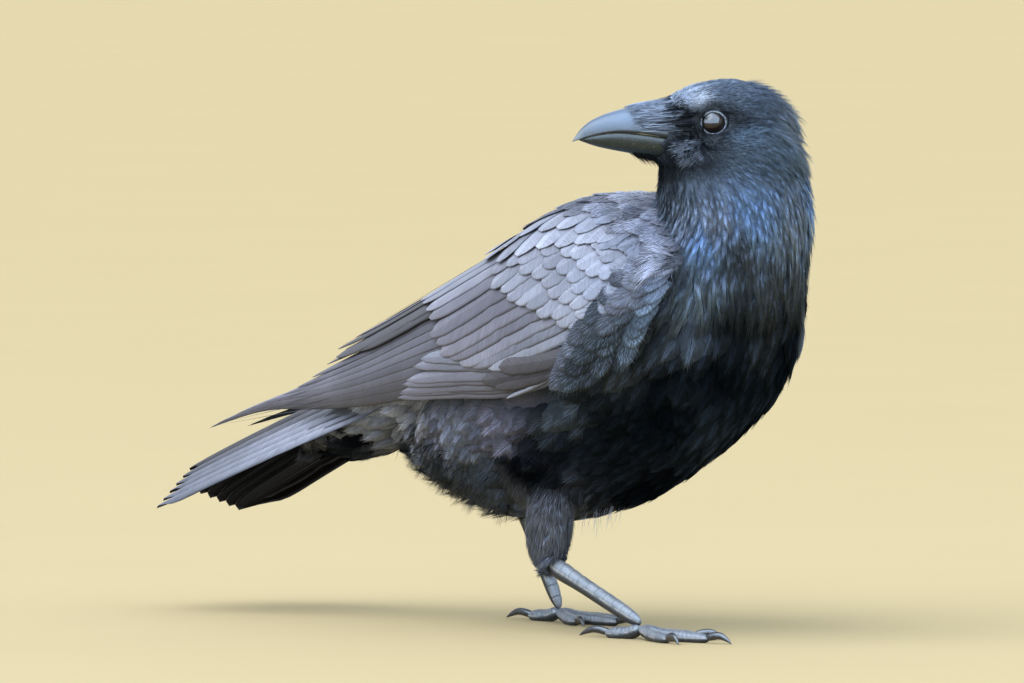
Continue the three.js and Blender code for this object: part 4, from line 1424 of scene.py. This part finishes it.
# The bill's map has its length and the height off its meeting edge, in centimetres.
def hornMaterial(name):
    look, marks = hornLooks[name], hornMarks
    material, tree = newMaterial(name)
    place = placeOf(tree)
    along, height = mapOf(tree, "horn")
    cloud = noiseOf(tree, place, 260.0, 3.0)
    grain = noiseOf(tree, place, 2600.0, 4.0, 0.7)
    stretched = combine(tree, product(tree, along, 0.25), product(tree, height, 3.0))
    lines = noiseOf(tree, stretched, 9.0, 3.0, 0.6)
    tone = blendColour(tree, spread(tree, cloud, 0.35, 0.7, 0, 1), look["dark"], look["light"])
    # Darker towards the bottom of each half, and a painted sky reflection towards its top.
    level = split(tree, place)[2]
    tone = blendColour(tree, spread(tree, level, *look["lowLevel"], 0.9, 0), tone, look["low"])
    tone = blendColour(tree, spread(tree, level, *look["highLevel"], 0, 0.9), tone, look["high"])
    # A painted shadow line along the edge where the two halves meet.
    tone = blendColour(tree, spread(tree, height, 0.0, 0.07, 0.8, 0), tone, marks["meetingShade"])
    offMiddle = calc(tree, "ABSOLUTE", calc(tree, "SUBTRACT", along, marks["wornMiddle"]))
    worn = product(tree, spread(tree, height, 0.02, 0.06, 1, 0), spread(tree, lines, 0.54, 0.6, 0, 1),
                   spread(tree, offMiddle, 0.4, 0.9, 1, 0), 0.85)
    tone = blendColour(tree, worn, tone, marks["worn"])
    chips = spread(tree, noiseOf(tree, place, 1500.0, 1.0), 0.69, 0.72, 0, 0.55)
    tone = blendColour(tree, chips, tone, marks["chip"])
    tone = blendColour(tree, spread(tree, along, *marks["tipFrom"], 0, 0.35), tone, marks["tip"])
    values = {
        "Base Color": tone, "Roughness": spread(tree, grain, 0.3, 0.7, 0.30, 0.46),
        "Specular IOR Level": 0.34, "Coat Weight": 0.14, "Coat Roughness": 0.28,
        "Sheen Weight": 0.35, "Sheen Roughness": 0.4, "Sheen Tint": (0.55, 0.75, 1.0, 1),
    }
    relief = calc(tree, "ADD", product(tree, lines, 1.2), product(tree, grain, 0.5))
    return finishMaterial(material, values, relief, 0.35, 0.12)


def closing(share, rear, front):
    middle = 2 * share - 1
    return math.sqrt(max(0.0, 1 - abs(middle) ** (rear if middle < 0 else front)))


remembered = {}      # station lists with the values already read from them


def at(stations, column, along):
    _, values = remembered.setdefault(id(stations), (stations, {}))
    key = (column, round(along, 5))
    if key not in values:
        values[key] = float(smoothThrough(stations, column, along))
    return values[key]


def billHalf(name, outer, tip, facing, node, material):
    size = billSizes

    def place(share, angle):
        along = mix(size["back"], tip, share ** 0.9)
        shut = closing(share, *size["ends"])
        edge = at(size["meeting"], 1, along) + facing * size["gap"] / 2
        depth = (at(outer, 1, along) - edge) * shut
        rise = math.sin(angle)
        wide = at(outer, 2, along) * (1 - size["keen"] * max(0.0, rise) ** 4)
        if facing < 0:
            wide -= size["tuck"] * (1 - abs(rise)) ** 5        # the lower edge goes inside the upper one
        lift = depth * rise ** 0.9 if rise > 0 else 0
        return headPoint(along, wide * shut * math.cos(angle), edge + lift)

    mesh = ballMesh(name, 72, 64, place)
    along, _, up = inHead(pointsOf(mesh)).T
    height = np.abs(up - smoothThrough(size["meeting"], 1, along))
    addMap(mesh, "horn", np.stack((along, height), 1) / 10)
    showMesh(name, mesh, material, [node])


upperHorn, lowerHorn = hornMaterial("upperHorn"), hornMaterial("lowerHorn")
billHalf("upper_bill", billSizes["ridge"], billSizes["upperTip"], 1, "bill_upper", upperHorn)
billHalf("lower_bill", billSizes["keel"], billSizes["lowerTip"], -1, "bill_lower", lowerHorn)

# Nose bristles: stiff hairs that lie forward over the bill's base, on a thin black bed of painted shade

bristleSizes = {
    "back": 9.5, "rise": 4.5, "front": 37.2, "above": 2.6,
    "bedInset": 2.5, "bedLift": 0.55, "bedEnds": (6, 3),
    "count": 2300, "long": (9, 15), "shortest": 5, "rootsTo": 9, "tipStray": 1.1, "sideShort": 2.5,
    "fan": -0.10, "turnStray": 0.07, "layer": 0.9, "skinReach": 9, "streaks": 22, "streakLong": 6,
    "hair": {"long": 12, "half": 0.2, "thick": 0.2, "cuts": 2},
}


def onBristleBed(along, turn, out):
    low = smoothThrough(billSizes["meeting"], 1, along) + bristleSizes["above"]
    high = smoothThrough(billSizes["ridge"], 1, along) + out
    wide = smoothThrough(billSizes["ridge"], 2, along) + out
    return along, wide * np.cos(turn), low + (high - low) * np.sin(turn)


def inWorld(along, left, up):
    places = along[..., None] * np.array(headFront) + left[..., None] * np.array(headLeft)
    return (places + up[..., None] * np.array(headUp)) * mm + np.array(headMiddle)


# A place out from the bill's base, and from the skin where that stands higher
def overBill(along, turn, out):
    spots = inWorld(*onBristleBed(along, turn, np.zeros(len(along))))
    ways = unit(spots - inWorld(along, np.zeros(len(along)), np.full(len(along), -2.0)))
    reach = bristleSizes["skinReach"]
    skinHeights = []
    for spot, way in zip(spots, ways):
        hit = skinTree.ray_cast(Vector(spot + way * reach * mm), Vector(-way), reach * mm)
        skinHeights.append(reach - hit[3] / mm if hit[0] is not None else 0)
    return spots + ways * (np.array(skinHeights) + out)[:, None] * mm, ways


# The bed is black: painted shade under the bristles.
def makeBristleShadeBed():
    size = bristleSizes

    def place(share, angle):
        rear = size["back"] + size["rise"] * math.sin(max(0.0, angle)) ** 3
        along = mix(rear + size["bedInset"], size["front"] - size["bedInset"], share)
        shut = closing(share, *size["bedEnds"])
        along, left, up = (float(v) for v in onBristleBed(along, max(0.0, angle), size["bedLift"] * shut))
        return headPoint(along, left * shut ** 0.3, up)

    bed = ballMesh("bristle_shade_bed", 40, 20, place)
    addColours(bed, "hue", np.tile((*palette["black"], 1.0), (len(bed.vertices), 1)))
    showMesh("bristle_shade_bed", bed, skin.data.materials[0], ["nasal_bristles"])


def makeBristles():
    size = bristleSizes
    draw = np.random.default_rng(111)
    count = size["count"]
    turn = np.arccos(draw.uniform(-1, 1, count))
    rear = size["back"] + size["rise"] * np.sin(turn) ** 3
    start = rear + (size["front"] - size["rootsTo"] - rear) * draw.random(count) ** 1.3
    edge = size["front"] + draw.normal(0, size["tipStray"], count)
    edge = edge - size["sideShort"] * np.abs(np.cos(turn)) ** 6
    ends = np.minimum(start + draw.uniform(*size["long"], count), edge)
    ends = np.maximum(ends, start + size["shortest"])
    drift = np.cos(turn) * size["fan"] + draw.normal(0, size["turnStray"], count)
    layer = size["layer"] * draw.random(count) ** 0.7
    starts, _ = overBill(start, turn, 0.1)
    bends, ways = overBill(mix(start, ends, 0.5), turn + drift * 0.5, 0.4 + 0.8 * layer)
    tips, _ = overBill(ends, turn + drift, 0.3 + 0.6 * layer)
    fromFurrow = ease((start - rear) / mix(9, 1, np.sin(turn) ** 2))[:, None]
    tones = mix(np.array([palette["black"]]), np.array([palette["bristle"]]), fromFurrow)
    streaks = np.floor(turn * size["streaks"]) * 5 + np.floor(start / size["streakLong"])
    tones = tones * mix(0.3, 1.6, draw.random(400)[streaks.astype(int)])[:, None]
    layLocks("nose_bristles", size["hair"], starts, bends, tips, ways, tones, 112, ["nasal_bristles"])


# Feathers at the corner of the mouth, which lie forward and down over the bill's rear edge
gapeSizes = {"density": 2.4, "long": (4, 7.5), "from": 6, "to": 52, "stray": 9, "clear": 0.5,
             "hair": {"long": 7, "half": 0.2, "thick": 0.16, "cuts": 2}}


def makeGapeFeathers():
    size = gapeSizes
    roots, normals = scatter(114, onGape(triangleMiddles), density=size["density"])
    x, y, z = inHead(roots).T
    draw = np.random.default_rng(115)
    fall = mix(size["from"], size["to"], ease((-8 - z) / 9)) + draw.normal(0, size["stray"], len(x))
    fall, long = np.radians(fall), draw.uniform(*size["long"], len(x))
    lines = []
    for share, out in ((0.5, 0.9), (1, 0.5)):
        along, up = x + long * share * np.cos(fall), z - long * share * np.sin(fall)
        bill = smoothThrough(billSizes["keel"], 2, along) + size["clear"]
        left = np.maximum(bill, np.abs(y) - 0.25 * long * share) + out
        lines.append(inWorld(along, left * np.sign(y), up))
    tones = np.array([palette["bristle"]]) * (draw.uniform(0.15, 1.0, len(x)) * ease((x - 5) / 4))[:, None]
    layLocks("gape_feathers", size["hair"], roots, *lines, normals, tones, 116)


# Feathers under the lower bill, which reach forward between its edges and hang back and down
chinSizes = {"count": 1100, "back": 17, "front": 37, "wide": 4.8, "long": (7, 14), "fall": (12, 42),
             "hair": {"long": 9, "half": 0.26, "thick": 0.22, "cuts": 2}}


def makeChinFeathers():
    size = chinSizes
    draw = np.random.default_rng(118)
    count = size["count"]
    along = mix(size["back"], size["front"], draw.random(count) ** 0.8)
    share = draw.uniform(-1, 1, count)
    left = share * size["wide"] * mix(1, 0.5, (along - size["back"]) / (size["front"] - size["back"]))
    up = smoothThrough(billSizes["keel"], 1, along) + 0.6 + 1.4 * share ** 2
    rear = ease((31 - along) / 12)
    fall = np.radians(draw.uniform(*size["fall"], count) + 22 * rear)
    long = draw.uniform(*size["long"], count) * mix(0.8, 1.5, rear)
    starts = inWorld(along, left, up)
    bends = inWorld(along - 0.55 * long * np.cos(fall), left, up - 0.3 - 0.35 * long * np.sin(fall))
    ends = inWorld(along - long * np.cos(fall), left * 1.1, up - long * np.sin(fall))
    outward = np.tile(np.array(headWay(0, 0, -1)), (count, 1))
    tones = np.array([palette["soot"]]) * (draw.uniform(0.3, 1.4, count) * mix(1, 1.8, rear))[:, None]
    layLocks("chin_feathers", size["hair"], starts, bends, ends, outward, tones, 119)


makeGapeFeathers()
makeChinFeathers()
makeBristleShadeBed()
makeBristles()
print("bill ready")

# Eyes: a clear-fronted ball, and the ring of lid skin round it

eyeSizes = {
    "radius": 6.35, "bulge": 0.3, "bulgeEdge": (0.25, 0.18), "pupil": 0.165, "iris": 0.46, "forward": 0.1,
    "wide": 1.06, "tall": 0.93, "ripple": 0.008, "paleFrom": 4.93, "paleTo": 5.72,
    "lid": [(4.98, 3.7), (4.92, 4.12), (5.0, 4.45), (5.2, 4.62), (5.42, 4.58), (5.6, 4.4), (5.9, 4.22),
            (6.3, 3.8), (6.6, 3.0), (6.3, 2.4), (5.6, 2.8)],      # out from the gaze line, ahead
}
eyeTones = {
    "darkFibre": (0.006, 0.003, 0.002, 1), "fibre": (0.022, 0.011, 0.008, 1),
    "rim": (0.012, 0.008, 0.007, 1),
    "pupil": (0.0015, 0.0015, 0.002, 1), "white": (0.006, 0.006, 0.007, 1),
}
lidTones = {
    "dark": (0.006, 0.008, 0.011, 1), "darkGrain": (0.035, 0.043, 0.055, 1),
    "pale": (0.25, 0.29, 0.38, 1), "paleBead": (0.07, 0.085, 0.11, 1),
}


# The eye's map has its middle at the pupil and is in centimetres.
def eyeMaterial():
    size, tones = eyeSizes, eyeTones
    material, tree = newMaterial("brownEye")
    u, v = mapOf(tree, "gaze")
    squares = [calc(tree, "POWER", calc(tree, "ABSOLUTE", way), 2.0) for way in (u, v)]
    far = calc(tree, "SQRT", calc(tree, "ADD", *squares))
    rays = combine(tree, calc(tree, "DIVIDE", u, far), calc(tree, "DIVIDE", v, far))
    brown = blendColour(tree, noiseOf(tree, rays, 14.0, 3.0, 0.7), tones["darkFibre"], tones["fibre"])
    tone = blendColour(tree, spread(tree, far, 0.3, size["iris"], 0, 0.8), brown, tones["rim"])
    pupil = spread(tree, far, size["pupil"] - 0.01, size["pupil"] + 0.012, 1, 0)
    tone = blendColour(tree, pupil, tone, tones["pupil"])
    white = spread(tree, far, size["iris"], size["iris"] + 0.03, 0, 1)
    values = {"Base Color": blendColour(tree, white, tone, tones["white"]), "Roughness": 0.35,
              "Specular IOR Level": 0.1, "Coat Weight": 1.0, "Coat Roughness": 0.02, "Coat IOR": 1.45}
    return finishMaterial(material, values)


def lidMaterial():
    tones = lidTones
    material, tree = newMaterial("lidSkin")
    rim = split(tree, attribute(tree, "rim")["Vector"])[0]
    place = placeOf(tree)
    grain = noiseOf(tree, place, 2400.0, 3.0, 0.6)
    beads = addNode(tree, "TexVoronoi", {"Vector": place, "Scale": 1500.0}).outputs["Distance"]
    dark = blendColour(tree, grain, tones["dark"], tones["darkGrain"])
    pale = blendColour(tree, spread(tree, beads, 0.2, 0.6, 0, 1), tones["pale"], tones["paleBead"])
    values = {"Base Color": blendColour(tree, rim, dark, pale), "Roughness": 0.5, "Specular IOR Level": 0.4}
    return finishMaterial(material, values, calc(tree, "ADD", grain, beads), 0.6, 0.12)


def gazeWays(side):
    gaze = (headLeft * sideSigns[side] + headFront * eyeSizes["forward"]).normalized()
    ahead = (headFront - gaze * headFront.dot(gaze)).normalized()
    return ahead, gaze.cross(ahead) * (1 if gaze.cross(ahead).z > 0 else -1), gaze


def makeEyeball(side, material):
    size = eyeSizes
    middle = eyeMiddles[side]
    ahead, above, gaze = gazeWays(side)
    edge, fade = size["bulgeEdge"]

    def place(share, angle):
        down = math.pi * share
        radius = size["radius"] + size["bulge"] * float(ease((edge - share) / fade))
        across = math.sin(down) * radius
        way = (ahead * math.cos(angle) + above * math.sin(angle)) * across
        return middle + (way + gaze * math.cos(down) * radius) * mm

    mesh = ballMesh(f"{side}_eye", 56, 40, place)
    away = (pointsOf(mesh) - np.array(middle)) / mm / 10
    addMap(mesh, "gaze", np.stack((away @ np.array(ahead), away @ np.array(above)), 1))
    showMesh(f"{side}_eye", mesh, material, [f"eye_{side}"])


def makeEyelid(side, material):
    size = eyeSizes
    middle = eyeMiddles[side]
    ahead, above, gaze = gazeWays(side)
    bm = bmesh.new()
    ring = [bm.verts.new(middle + (ahead * far + gaze * out) * mm) for far, out in size["lid"]]
    edges = [bm.edges.new((ring[i - 1], ring[i])) for i in range(len(ring))]
    bmesh.ops.spin(bm, geom=ring + edges, cent=middle, axis=gaze, angle=2 * math.pi, steps=96,
                   use_merge=True)
    bmesh.ops.remove_doubles(bm, verts=bm.verts, dist=0.001 * mm)
    draw = np.random.default_rng(121)
    rims = []
    for vertex in bm.verts:
        away = vertex.co - middle
        x, y, z = away.dot(ahead), away.dot(above), away.dot(gaze)
        far = math.hypot(x, y) / mm
        rims.append(float(ease((size["paleTo"] - far) / 0.2) * ease((far - size["paleFrom"]) / 0.07)))
        ripple = 1 + size["ripple"] * draw.normal()
        vertex.co = middle + ahead * x * size["wide"] * ripple + above * y * size["tall"] * ripple + gaze * z
    mesh = meshOf(f"{side}_eyelid", bm)
    addColours(mesh, "rim", np.repeat(np.array(rims)[:, None], 4, 1))
    showMesh(f"{side}_eyelid", mesh, material, [])


brownEye, lidSkin = eyeMaterial(), lidMaterial()
for side in sideSigns:
    makeEyeball(side, brownEye)
    makeEyelid(side, lidSkin)
print("eyes ready")

# Legs: straight scaly shanks, and four toes to a foot with scutes above, pads below and a claw

footSizes = {
    "deep": 4, "wide": 3, "pad": 2, "scute": 5.6, "toeScute": 2.5, "relief": 0.05, "toeRelief": 0.06,
    "padRelief": 0.13,
    "legs": {"right": {"ankle": (18, -29, 32.5), "ball": (74.5, -29, 7.2), "turn": 4},
             "left": {"ankle": (-52.5, 28, 61), "ball": (-25.4, 28, 6.2), "turn": -4}},
    "shank": [(0, 1.25), (0.12, 1.22), (0.3, 1.0), (0.6, 0.93), (0.85, 0.97), (1, 1.1)],    # share, width
    "toes": {"middle": (39, 12, 0, 2.9, 4), "inner": (27, 11, 27, 2.7, 3), "outer": (29, 10, -27, 2.7, 4),
             "hind": (20, 15, 180, 3, 2)},   # length, claw, turn, thickness, joints
    "toe": [(0, 3, 1.05), (0.3, 0.9, 0.95), (0.65, 0, 1.02), (1, 0, 0.86)],    # share, over the pad, width
    "claw": [(0, -3, 0.3, 2.0), (0.35, 0, 1.6, 1.7), (0.75, 0, 0.2, 1.1), (1, 0, -1.65, 0.35)],
}
# The front plates' blue-grey is partly the scales' own and partly painted sheen; the rear is darker.
scaleTones = {
    "scale": (0.105, 0.122, 0.150, 1), "paleScale": (0.19, 0.21, 0.25, 1), "rear": (0.012, 0.015, 0.019, 1),
    "edge": (0.015, 0.017, 0.02, 1), "flake": (0.42, 0.41, 0.40, 1),
}
clawTones = {"dark": (0.008, 0.009, 0.011, 1), "pale": (0.035, 0.036, 0.04, 1)}


# The leg's map counts scutes along it and goes from 0 at its front to 1 behind.
def scaleMaterial():
    tones = scaleTones
    material, tree = newMaterial("legScales")
    u, v = mapOf(tree, "scutes")
    place = placeOf(tree)
    grain = noiseOf(tree, place, 1800.0, 4.0, 0.7)
    cloud = noiseOf(tree, place, 220.0, 3.0)
    edge = spread(tree, calc(tree, "FRACT", u), 0.9, 1.0, 0, 1)
    # Blue-grey front plates, partly painted sheen, and darker towards the rear.
    tone = blendColour(tree, spread(tree, cloud, 0.3, 0.7, 0, 1), tones["scale"], tones["paleScale"])
    tone = blendColour(tree, spread(tree, v, 0.45, 0.6, 1, 0), tones["rear"], tone)
    tone = blendColour(tree, product(tree, edge, 0.8), tone, tones["edge"])
    seam = calc(tree, "ABSOLUTE", calc(tree, "SUBTRACT", v, calc(tree, "MULTIPLY_ADD", grain, 0.12, 0.42)))
    flakes = product(tree, spread(tree, seam, 0.0, 0.035, 1, 0), spread(tree, cloud, 0.4, 0.5, 0, 0.8))
    tone = blendColour(tree, flakes, tone, tones["flake"])
    values = {"Base Color": scaled(tree, tone, spread(tree, grain, 0.3, 0.7, 0.7, 1.25)),
              "Roughness": spread(tree, grain, 0.3, 0.7, 0.38, 0.58), "Specular IOR Level": 0.5}
    relief = calc(tree, "SUBTRACT", product(tree, grain, 0.6), edge)
    return finishMaterial(material, values, relief, 0.7, 0.2)


def clawMaterial():
    material, tree = newMaterial("clawHorn")
    grain = noiseOf(tree, placeOf(tree), 900.0, 4.0, 0.65)
    tone = blendColour(tree, spread(tree, grain, 0.35, 0.7, 0, 1), clawTones["dark"], clawTones["pale"])
    values = {"Base Color": tone, "Roughness": spread(tree, grain, 0.3, 0.7, 0.24, 0.42),
              "Specular IOR Level": 0.6}
    return finishMaterial(material, values, grain, 0.3, 0.1)


# A limb is a rounded solid along stops (share, x, y, z, radius), with its own relief.
def limb(name, stops, across, look, relief, material, node):
    total = sum((Vector(b[1:4]) - Vector(a[1:4])).length for a, b in zip(stops, stops[1:]))
    notes = []

    def spot(share):
        return Vector([at(stops, column, share) for column in (1, 2, 3)])

    def place(share, angle):
        way = (spot(min(1, share + 0.02)) - spot(max(0, share - 0.02))).normalized()
        side = (across - way * across.dot(way)).normalized()
        above = way.cross(side)
        radius = at(stops, 4, share) * closing(share, *look["ends"])
        radius *= 1 + relief(share * total, angle)
        way = side * look["flat"] * math.cos(angle) + above * math.sin(angle)
        point = spot(share) + way * radius
        point.z = max(point.z, 0.0)
        turned = angle - math.pi / 2 if angle > -math.pi / 2 else angle + math.pi * 1.5
        notes.append((share * total / look["spacing"], abs(turned) / math.pi))
        return crowPoint(*point)

    mesh = ballMesh(name, look["sides"], look["rings"], place)
    addMap(mesh, "scutes", np.array(notes))
    showMesh(name, mesh, material, [node])


def scuteRelief(spacing, height):
    def relief(along, angle):
        step = (along / spacing) % 1
        plate = height * (1 - step) * max(0.0, math.sin(angle)) ** 0.5
        return plate - height * 1.2 * (step > 0.93) * (math.sin(angle) > 0)
    return relief


def toeRelief(length, joints):
    plates = scuteRelief(footSizes["toeScute"], footSizes["toeRelief"])

    def relief(along, angle):
        pads = footSizes["padRelief"] * (abs(math.sin(math.pi * joints * along / length)) ** 0.5 - 0.5)
        return plates(along, angle) + pads * max(0.0, -math.sin(angle)) + 0.35 * pads
    return relief


def clawRelief(along, angle):
    return 0


limbLooks = {
    "shank": {"sides": 32, "rings": 190, "ends": (5, 4), "flat": footSizes["wide"] / footSizes["deep"],
              "spacing": footSizes["scute"]},
    "toe": {"sides": 24, "rings": 96, "ends": (6, 4), "flat": 1, "spacing": footSizes["toeScute"]},
    "claw": {"sides": 20, "rings": 32, "ends": (6, 9), "flat": 0.75, "spacing": 3},
}


def makeFoot(side, scales, claws):
    size = footSizes
    leg = size["legs"][side]
    ankle, foot = Vector(leg["ankle"]), Vector(leg["ball"])
    stops = [(share, *ankle.lerp(foot, share), size["deep"] * wide) for share, wide in size["shank"]]
    limb(f"{side}_tarsus", stops, Vector((0, 1, 0)), limbLooks["shank"],
         scuteRelief(size["scute"], size["relief"]), scales, f"tarsus_{side}")
    for toe, (length, claw, turn, thick, joints) in size["toes"].items():
        heading = math.radians(leg["turn"] - sideSigns[side] * turn)
        way = Vector((math.cos(heading), math.sin(heading), 0))
        across = Vector((-way.y, way.x, 0))

        def stop(share, far, over, radius):
            spot = foot + way * far
            return share, spot.x, spot.y, size["pad"] + over, radius

        stops = [stop(share, share * length, over, thick * wide) for share, over, wide in size["toe"]]
        limb(f"{side}_{toe}_toe", stops, across, limbLooks["toe"], toeRelief(length, joints), scales,
             f"toe_{side}_{toe}")
        stops = [stop(share, length + back + share * claw, over, radius)
                 for share, back, over, radius in size["claw"]]
        limb(f"{side}_{toe}_claw", stops, across, limbLooks["claw"], clawRelief, claws, f"claw_{side}_{toe}")


legScales, clawHorn = scaleMaterial(), clawMaterial()
for side in sideSigns:
    makeFoot(side, legScales, clawHorn)
print("feet ready")

# Camera, floor and light

cameraSizes = {"target": (-29.4, 0, 129), "azimuth": 42, "elevation": 3, "distance": 6600, "lens": 511}


def addCamera(sizes):
    turn, tip = math.radians(sizes["azimuth"]), math.radians(sizes["elevation"])
    back = Vector((math.sin(turn) * math.cos(tip), -math.cos(turn) * math.cos(tip), math.sin(tip)))
    camera = bpy.data.objects.new("camera", bpy.data.cameras.new("camera"))
    camera.data.lens = sizes["lens"]
    camera.data.clip_end = 100
    camera.location = crowPoint(*sizes["target"]) + back * sizes["distance"] * mm
    camera.rotation_euler = (-back).to_track_quat("-Z", "Y").to_euler()
    bpy.context.scene.collection.objects.link(camera)
    bpy.context.scene.camera = camera


lighting = {
    "world": ((0.84, 0.92, 1.0, 1), 1.25),
    "sun": {"place": (0, 0, 2000), "from": (-0.1, -0.75, 1.0), "energy": 2.2, "colour": (1.0, 0.98, 0.95),
            "spread": 60},
    "panel": {"place": (1200, -1500, 1900), "energy": 1700, "colour": (0.54, 0.74, 1.0), "wide": 12,
              "tall": 5},
}
floorSizes = {"radius": 40, "sides": 96, "tone": (0.470, 0.385, 0.216), "paler": 1.05}


def addLamp(name, kind, sizes, way=None):
    data = bpy.data.lights.new(name, kind)
    data.energy = sizes["energy"]
    data.color = sizes["colour"]
    lamp = bpy.data.objects.new(name, data)
    lamp.location = crowPoint(*sizes["place"])
    lamp.rotation_euler = (way or lamp.location - headMiddle).to_track_quat("Z", "Y").to_euler()
    bpy.context.scene.collection.objects.link(lamp)
    return lamp


def addLight(sizes):
    scene = bpy.context.scene
    scene.view_settings.view_transform = "Standard"
    scene.world = bpy.data.worlds.new("studio")
    scene.world.use_nodes = True
    sky = scene.world.node_tree.nodes["Background"]
    sky.inputs[0].default_value, sky.inputs[1].default_value = sizes["world"]
    sun = addLamp("sun", "SUN", sizes["sun"], Vector(sizes["sun"]["from"]))
    sun.data.angle = math.radians(sizes["sun"]["spread"])
    panel = addLamp("panel", "AREA", sizes["panel"])
    panel.data.shape = "RECTANGLE"
    panel.data.size, panel.data.size_y = sizes["panel"]["wide"], sizes["panel"]["tall"]
    panel.visible_diffuse = False       # it only puts a soft highlight on gloss
    panel.visible_camera = False


def addFloor(sizes):
    bm = bmesh.new()
    bmesh.ops.create_circle(bm, cap_ends=True, segments=sizes["sides"], radius=sizes["radius"])
    floor = bpy.data.objects.new("floor", meshOf("floor", bm, False))
    material, tree = newMaterial("paleFloor")
    tone = sizes["tone"]
    paler = [share * sizes["paler"] for share in tone]
    base = blendColour(tree, noiseOf(tree, placeOf(tree), 6.0), (*tone, 1), (*paler, 1))
    finishMaterial(material, {"Base Color": base, "Roughness": 0.9, "Specular IOR Level": 0.1})
    floor.data.materials.append(material)
    bpy.context.scene.collection.objects.link(floor)


addCamera(cameraSizes)
addLight(lighting)
addFloor(floorSizes)
print("studio ready")
